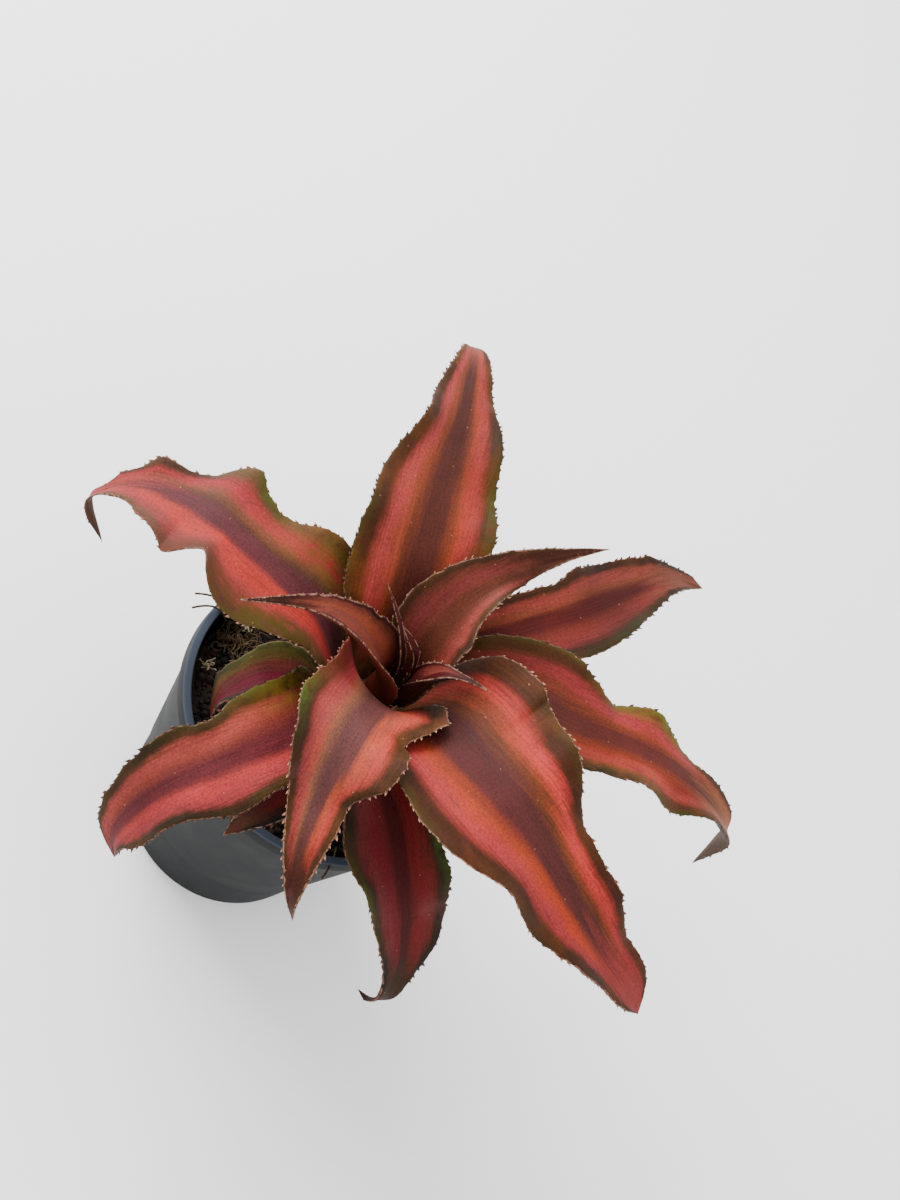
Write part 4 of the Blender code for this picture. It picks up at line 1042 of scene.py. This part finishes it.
def soilTree():
    tree, given, out = newTree("soilSurface", "GeometryNodeTree", {
        "Geometry": ["Body"], "Vector": ["Clump"], "Material": ["Mix", "Fibre", "Chip"], "Float": [
            "Level", "Edge", "Crumbs", "Strands", "Chips", "Clump Strands", *map(label, soilSizes)]},
        {"Geometry": ["Soil"]})
    look, level, edge = pottingMix, given["Level"], given["Edge"]
    position = add(tree, "GeometryNodeInputPosition")
    height = outputsOf(add(tree, "ShaderNodeSeparateXYZ", position))[2]
    outward = position * (1.0, 1.0, 0.0)
    radius = maths("LENGTH", outward)
    inward = 1 - ramped(radius, edge - look["calmEdge"], edge)
    scale, detail, middle, strength = look["lumpNoise"]
    rise = (noisy(position, scale, detail, 0.6) - middle) * (given["Lump"] * strength)
    rise = rise * (inward * 0.8 + 0.2)
    body = moved(given["Body"], Selection=height > level - 0.0001,
                 Offset=add(tree, "ShaderNodeCombineXYZ", 0.0, 0.0, rise))
    body = coated(body, given["Mix"])
    upward = outputsOf(add(tree, "ShaderNodeSeparateXYZ", add(tree, "GeometryNodeInputNormal")))[2]
    bare = (upward > 0.4) * (radius < edge - look["bareEdge"]) * (height > look["lowest"])

    def scattered(density, seed, instance, size, spread, tilt=0.9):
        points = add(tree, "GeometryNodeDistributePointsOnFaces", Mesh=body, Selection=bare,
                     Density=density, Seed=seed)
        turn = add(tree, "FunctionNodeRandomValue", (-tilt, -tilt, 0.0), (tilt, tilt, 6.283), Seed=seed,
                   data_type="FLOAT_VECTOR")
        luck = add(tree, "FunctionNodeRandomValue", Seed=seed + 1, output=1, data_type="FLOAT")
        scale = size * (maths("POWER", luck, 2.5) * spread + 0.35)
        return add(tree, "GeometryNodeRealizeInstances", add(
            tree, "GeometryNodeInstanceOnPoints", Points=points, Instance=instance, Rotation=turn,
            Scale=scale))

    def pushed(geometry, scale, detail, middle, strength):
        # moves the geometry about by coloured noise around its middle value
        return moved(geometry, Offset=(noisy(position, scale, detail, output="Color") - middle) * strength)

    # crumbs of peat and bark: small rough lumps, pushed about by noise once they are in place
    lump = add(tree, "GeometryNodeMeshIcoSphere", 0.5, 1)
    crumbs = scattered(given["Crumbs"], look["crumbSeed"], lump, given["Crumb Size"], 1.0)
    crumbs = coated(pushed(crumbs, *look["crumbNoise"]), given["Mix"])
    chips = scattered(given["Chips"], look["chipSeed"], lump, given["Chip Size"], 0.8)
    chips = coated(pushed(chips, *look["crumbNoise"]), given["Chip"])
    # strands of moss and coir: thin lines laid on the soil, each bent its own way
    line = add(tree, "GeometryNodeCurvePrimitiveLine", (-0.5, 0.0, 0.0), (0.5, 0.0, 0.0))
    line = add(tree, "GeometryNodeResampleCurve", Curve=line, Count=12)
    strands = scattered(given["Strands"], look["strandSeed"], line, given["Strand Length"], 1.0, 0.22)
    strands = pushed(strands, *look["strandNoise"])
    # a clump of moss: short strands crowded round one place, rising and curling over each other
    near = 1 - ramped(maths("LENGTH", position - given["Clump"]), 0.0, given["Clump Reach"])
    moss = scattered(given["Clump Strands"] * near, look["clumpSeed"], line, given["Clump Length"], 0.6)
    moss = pushed(moss, *look["clumpNoise"])
    # all strands are held inside the wall of the pot and above the soil
    limit = edge - look["strandEdge"]
    pulled = outward * (limit / maths("MAXIMUM", radius, limit))
    raised = maths("MAXIMUM", height, level - look["strandSink"])
    raised = add(tree, "ShaderNodeCombineXYZ", 0.0, 0.0, raised)
    strands = moved(joined(strands, moss), Position=pulled + raised)
    section = add(tree, "GeometryNodeCurvePrimitiveCircle", Resolution=4, Radius=given["Strand Width"])
    strands = add(tree, "GeometryNodeCurveToMesh", Curve=strands, Profile_Curve=section, Fill_Caps=True)
    strands = coated(strands, given["Fibre"])
    plug(out["Soil"], add(tree, "GeometryNodeSetShadeSmooth", joined(body, crumbs, chips, strands)))
    return tree


def addFibres(soil, material, lines, width):
    # lines of points (mm) as thin tubes, added to the soil's own mesh
    curve = bpy.data.curves.new("fibres", "CURVE")
    curve.dimensions = "3D"
    curve.bevel_depth = width * mm
    curve.bevel_resolution = 1
    curve.use_fill_caps = True
    for line in lines:
        spline = curve.splines.new("NURBS")
        spline.points.add(len(line) - 1)
        for point, spot in zip(spline.points, line):
            point.co = (*(Vector(spot) * mm), 1)
        spline.order_u = 4
        spline.use_endpoint_u = True
    holder = placed("fibres", curve)
    mesh = bmesh.new()
    mesh.from_mesh(plainMesh(holder))
    for face in mesh.faces:
        face.material_index = soil.data.materials.find(material.name)
        face.smooth = True
    mesh.from_mesh(soil.data)
    mesh.to_mesh(soil.data)
    mesh.free()
    bpy.data.objects.remove(holder)


def curls(seed):
    # short lines of points that each wander off from the middle of a tuft
    chance = random.Random(seed)
    made = []
    for middle, count in pottingMix["tufts"]:
        for _ in range(count):
            away = [chance.gauss(0, pottingMix["tuftReach"] / 2) for _ in range(3)]
            spot, line = Vector(middle) + Vector(away), []
            way = Vector((chance.uniform(-1, 1), chance.uniform(-1, 1), chance.uniform(-0.2, 0.6)))
            for _ in range(5):
                line.append(tuple(spot))
                way += Vector([chance.uniform(-0.7, 0.7) for _ in range(3)])
                spot = spot + way.normalized() * pottingMix["curlLength"] / 4
            made.append(line)
    return made


def makeSoil():
    look = pottingMix
    level, rings, under = look["level"], look["rings"], look["underside"]
    edge = potInner(level) - look["clearance"]
    profile = [(edge * k / rings, level) for k in range(rings + 1)]
    profile += [(potInner(height) - look["clearance"], height) for height in look["wallHeights"]]
    profile += [(potInner(look["wallHeights"][-1]) - look["footBevel"], under), (0, under)]
    obj = placed("potting_mix", turnedMesh("potting_mix", profile, look["segments"]))
    mix, fibre, chip = soilMaterials()
    area = math.pi * (edge * mm)**2
    grown(obj, soilTree(), Level=level * mm, Edge=edge * mm, Clump=Vector(look["clump"]) * mm,
          **{label(key): look[key] / area for key in ("crumbs", "strands", "chips")},
          **{label(key): look[key] * mm for key in soilSizes},
          **{"Clump Strands": look["clumpStrands"] / (look["clumpReach"] * mm)**2},
          Mix=mix, Fibre=fibre, Chip=chip)
    addFibres(obj, fibre, look["fibres"], look["fibreWidth"])
    addFibres(obj, chip, curls(look["curlSeed"]), look["curlWidth"])
    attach(obj, "root")
    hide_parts("soil")
    print("soil", len(obj.data.polygons), "faces")


shortStem = {  # mm
    "radius": 4.3, "foot": 34, "shoulder": 57, "scarPitch": 1.6, "scarDepth": 0.3, "scarSteps": 4,
    "taper": ((3.1, 62), (2.5, 64), (1.7, 66), (0.9, 67.6), (0.5, 68.2)),
    "segments": 64, "sharpAngle": 60, "bark": "2e1e14", "scar": "5c412a", "pale": "7c6a4c",
}


def makeStem():
    look = shortStem
    radius, foot, pitch, steps = (look[name] for name in ("radius", "foot", "scarPitch", "scarSteps"))
    profile = [(0, look["taper"][-1][1])] + list(reversed(look["taper"]))
    height = look["shoulder"]
    while height > foot + 1:
        for share in [part / steps for part in range(steps)]:
            depth = look["scarDepth"] * (0.5 - 0.5 * math.cos(2 * math.pi * share))
            profile.append((radius - depth, height - share * pitch))
        height -= pitch
    profile += [(radius - 0.2, foot + 0.6), (radius - 1, foot), (0, foot)]
    data = turnedMesh("short_stem", profile, look["segments"])
    data.transform(Matrix.Translation(plantAxis))
    obj = placed("short_stem", data)
    smoothed(data, look["sharpAngle"])
    made, base, grain, _ = grained("stem_bark", coarse=600.0, fine=2600.0, rough=0.6, bump=(0.6, 0.0003),
                                   stretch=(1.0, 1.0, 0.25), Specular_IOR_Level=0.3)
    colour = mixed(ramped(grain["Coarse"], 0.35, 0.65), hexColour(look["bark"]), hexColour(look["scar"]))
    plug(base, mixed(ramped(grain["Fine"], 0.5, 0.75), colour, hexColour(look["pale"])))
    data.materials.append(made)
    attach(obj, "root")
    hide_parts("stem")
    print("stem", len(data.polygons), "faces")


makePot()
makeSoil()
makeStem()

view = {"elevation": 52, "roll": 49, "distance": 320, "target": (-1.5, 27.5, 60), "lens": 53.94}


def makeCamera():
    tilt, roll = math.radians(view["elevation"]), math.radians(view["roll"])
    ahead = Vector((0, math.cos(tilt), -math.sin(tilt)))
    right, up = Vector((1, 0, 0)), Vector((0, math.sin(tilt), math.cos(tilt)))
    turnedRight = right * math.cos(roll) + up * math.sin(roll)
    turnedUp = up * math.cos(roll) - right * math.sin(roll)
    data = bpy.data.cameras.new("photo_view")
    data.lens = view["lens"]
    data.sensor_width = 36
    data.clip_start = 0.01
    camera = placed("photo_view", data)
    matrix = Matrix((turnedRight, turnedUp, -ahead)).transposed().to_4x4()
    matrix.translation = Vector(view["target"]) * mm - ahead * view["distance"] * mm
    camera.matrix_world = matrix
    bpy.context.scene.camera = camera
    return turnedRight, turnedUp, ahead


studio = {  # metres
    "floor": "f4f4f4", "floorReach": 3, "floorHeight": -0.0002, "sky": 1.95, "skyColour": (1.0, 1.0, 1.0),
    "key": 8.4, "keyAway": 0.6, "keySize": 0.45, "keyAim": (-0.12, 0.88, -0.25), "middle": (0.003, 0, 0.06),
}


def areaLight(name, spot, aim, size, energy):
    data = bpy.data.lights.new(name, "AREA")
    data.size = size
    data.energy = energy
    lamp = placed(name, data)
    lamp.location = spot
    lamp.rotation_euler = (aim - spot).to_track_quat("-Z", "Y").to_euler()


def makeStudio():
    right, up, ahead = makeCamera()
    mesh = bpy.data.meshes.new("floor")
    reach, height = studio["floorReach"], studio["floorHeight"]
    corners = [(x * reach, y * reach, height) for x, y in ((-1, -1), (1, -1), (1, 1), (-1, 1))]
    mesh.from_pydata(corners, [], [(0, 1, 2, 3)])
    floor = placed("floor", mesh)
    made, _, shader = newMaterial("floor", Roughness=0.9, Specular_IOR_Level=0.1)
    plug(shader["Base Color"], hexColour(studio["floor"]))
    mesh.materials.append(made)
    world = bpy.data.worlds.new("studio")
    world.use_nodes = True
    sky = world.node_tree.nodes["Background"]
    sky.inputs["Color"].default_value = (*studio["skyColour"], 1)
    sky.inputs["Strength"].default_value = studio["sky"]
    bpy.context.scene.world = world
    middle = Vector(studio["middle"])
    aside, above, back = studio["keyAim"]
    toKey = (right * aside + up * above + ahead * back).normalized()
    areaLight("key", middle + toKey * studio["keyAway"], middle, studio["keySize"], studio["key"])


makeStudio()
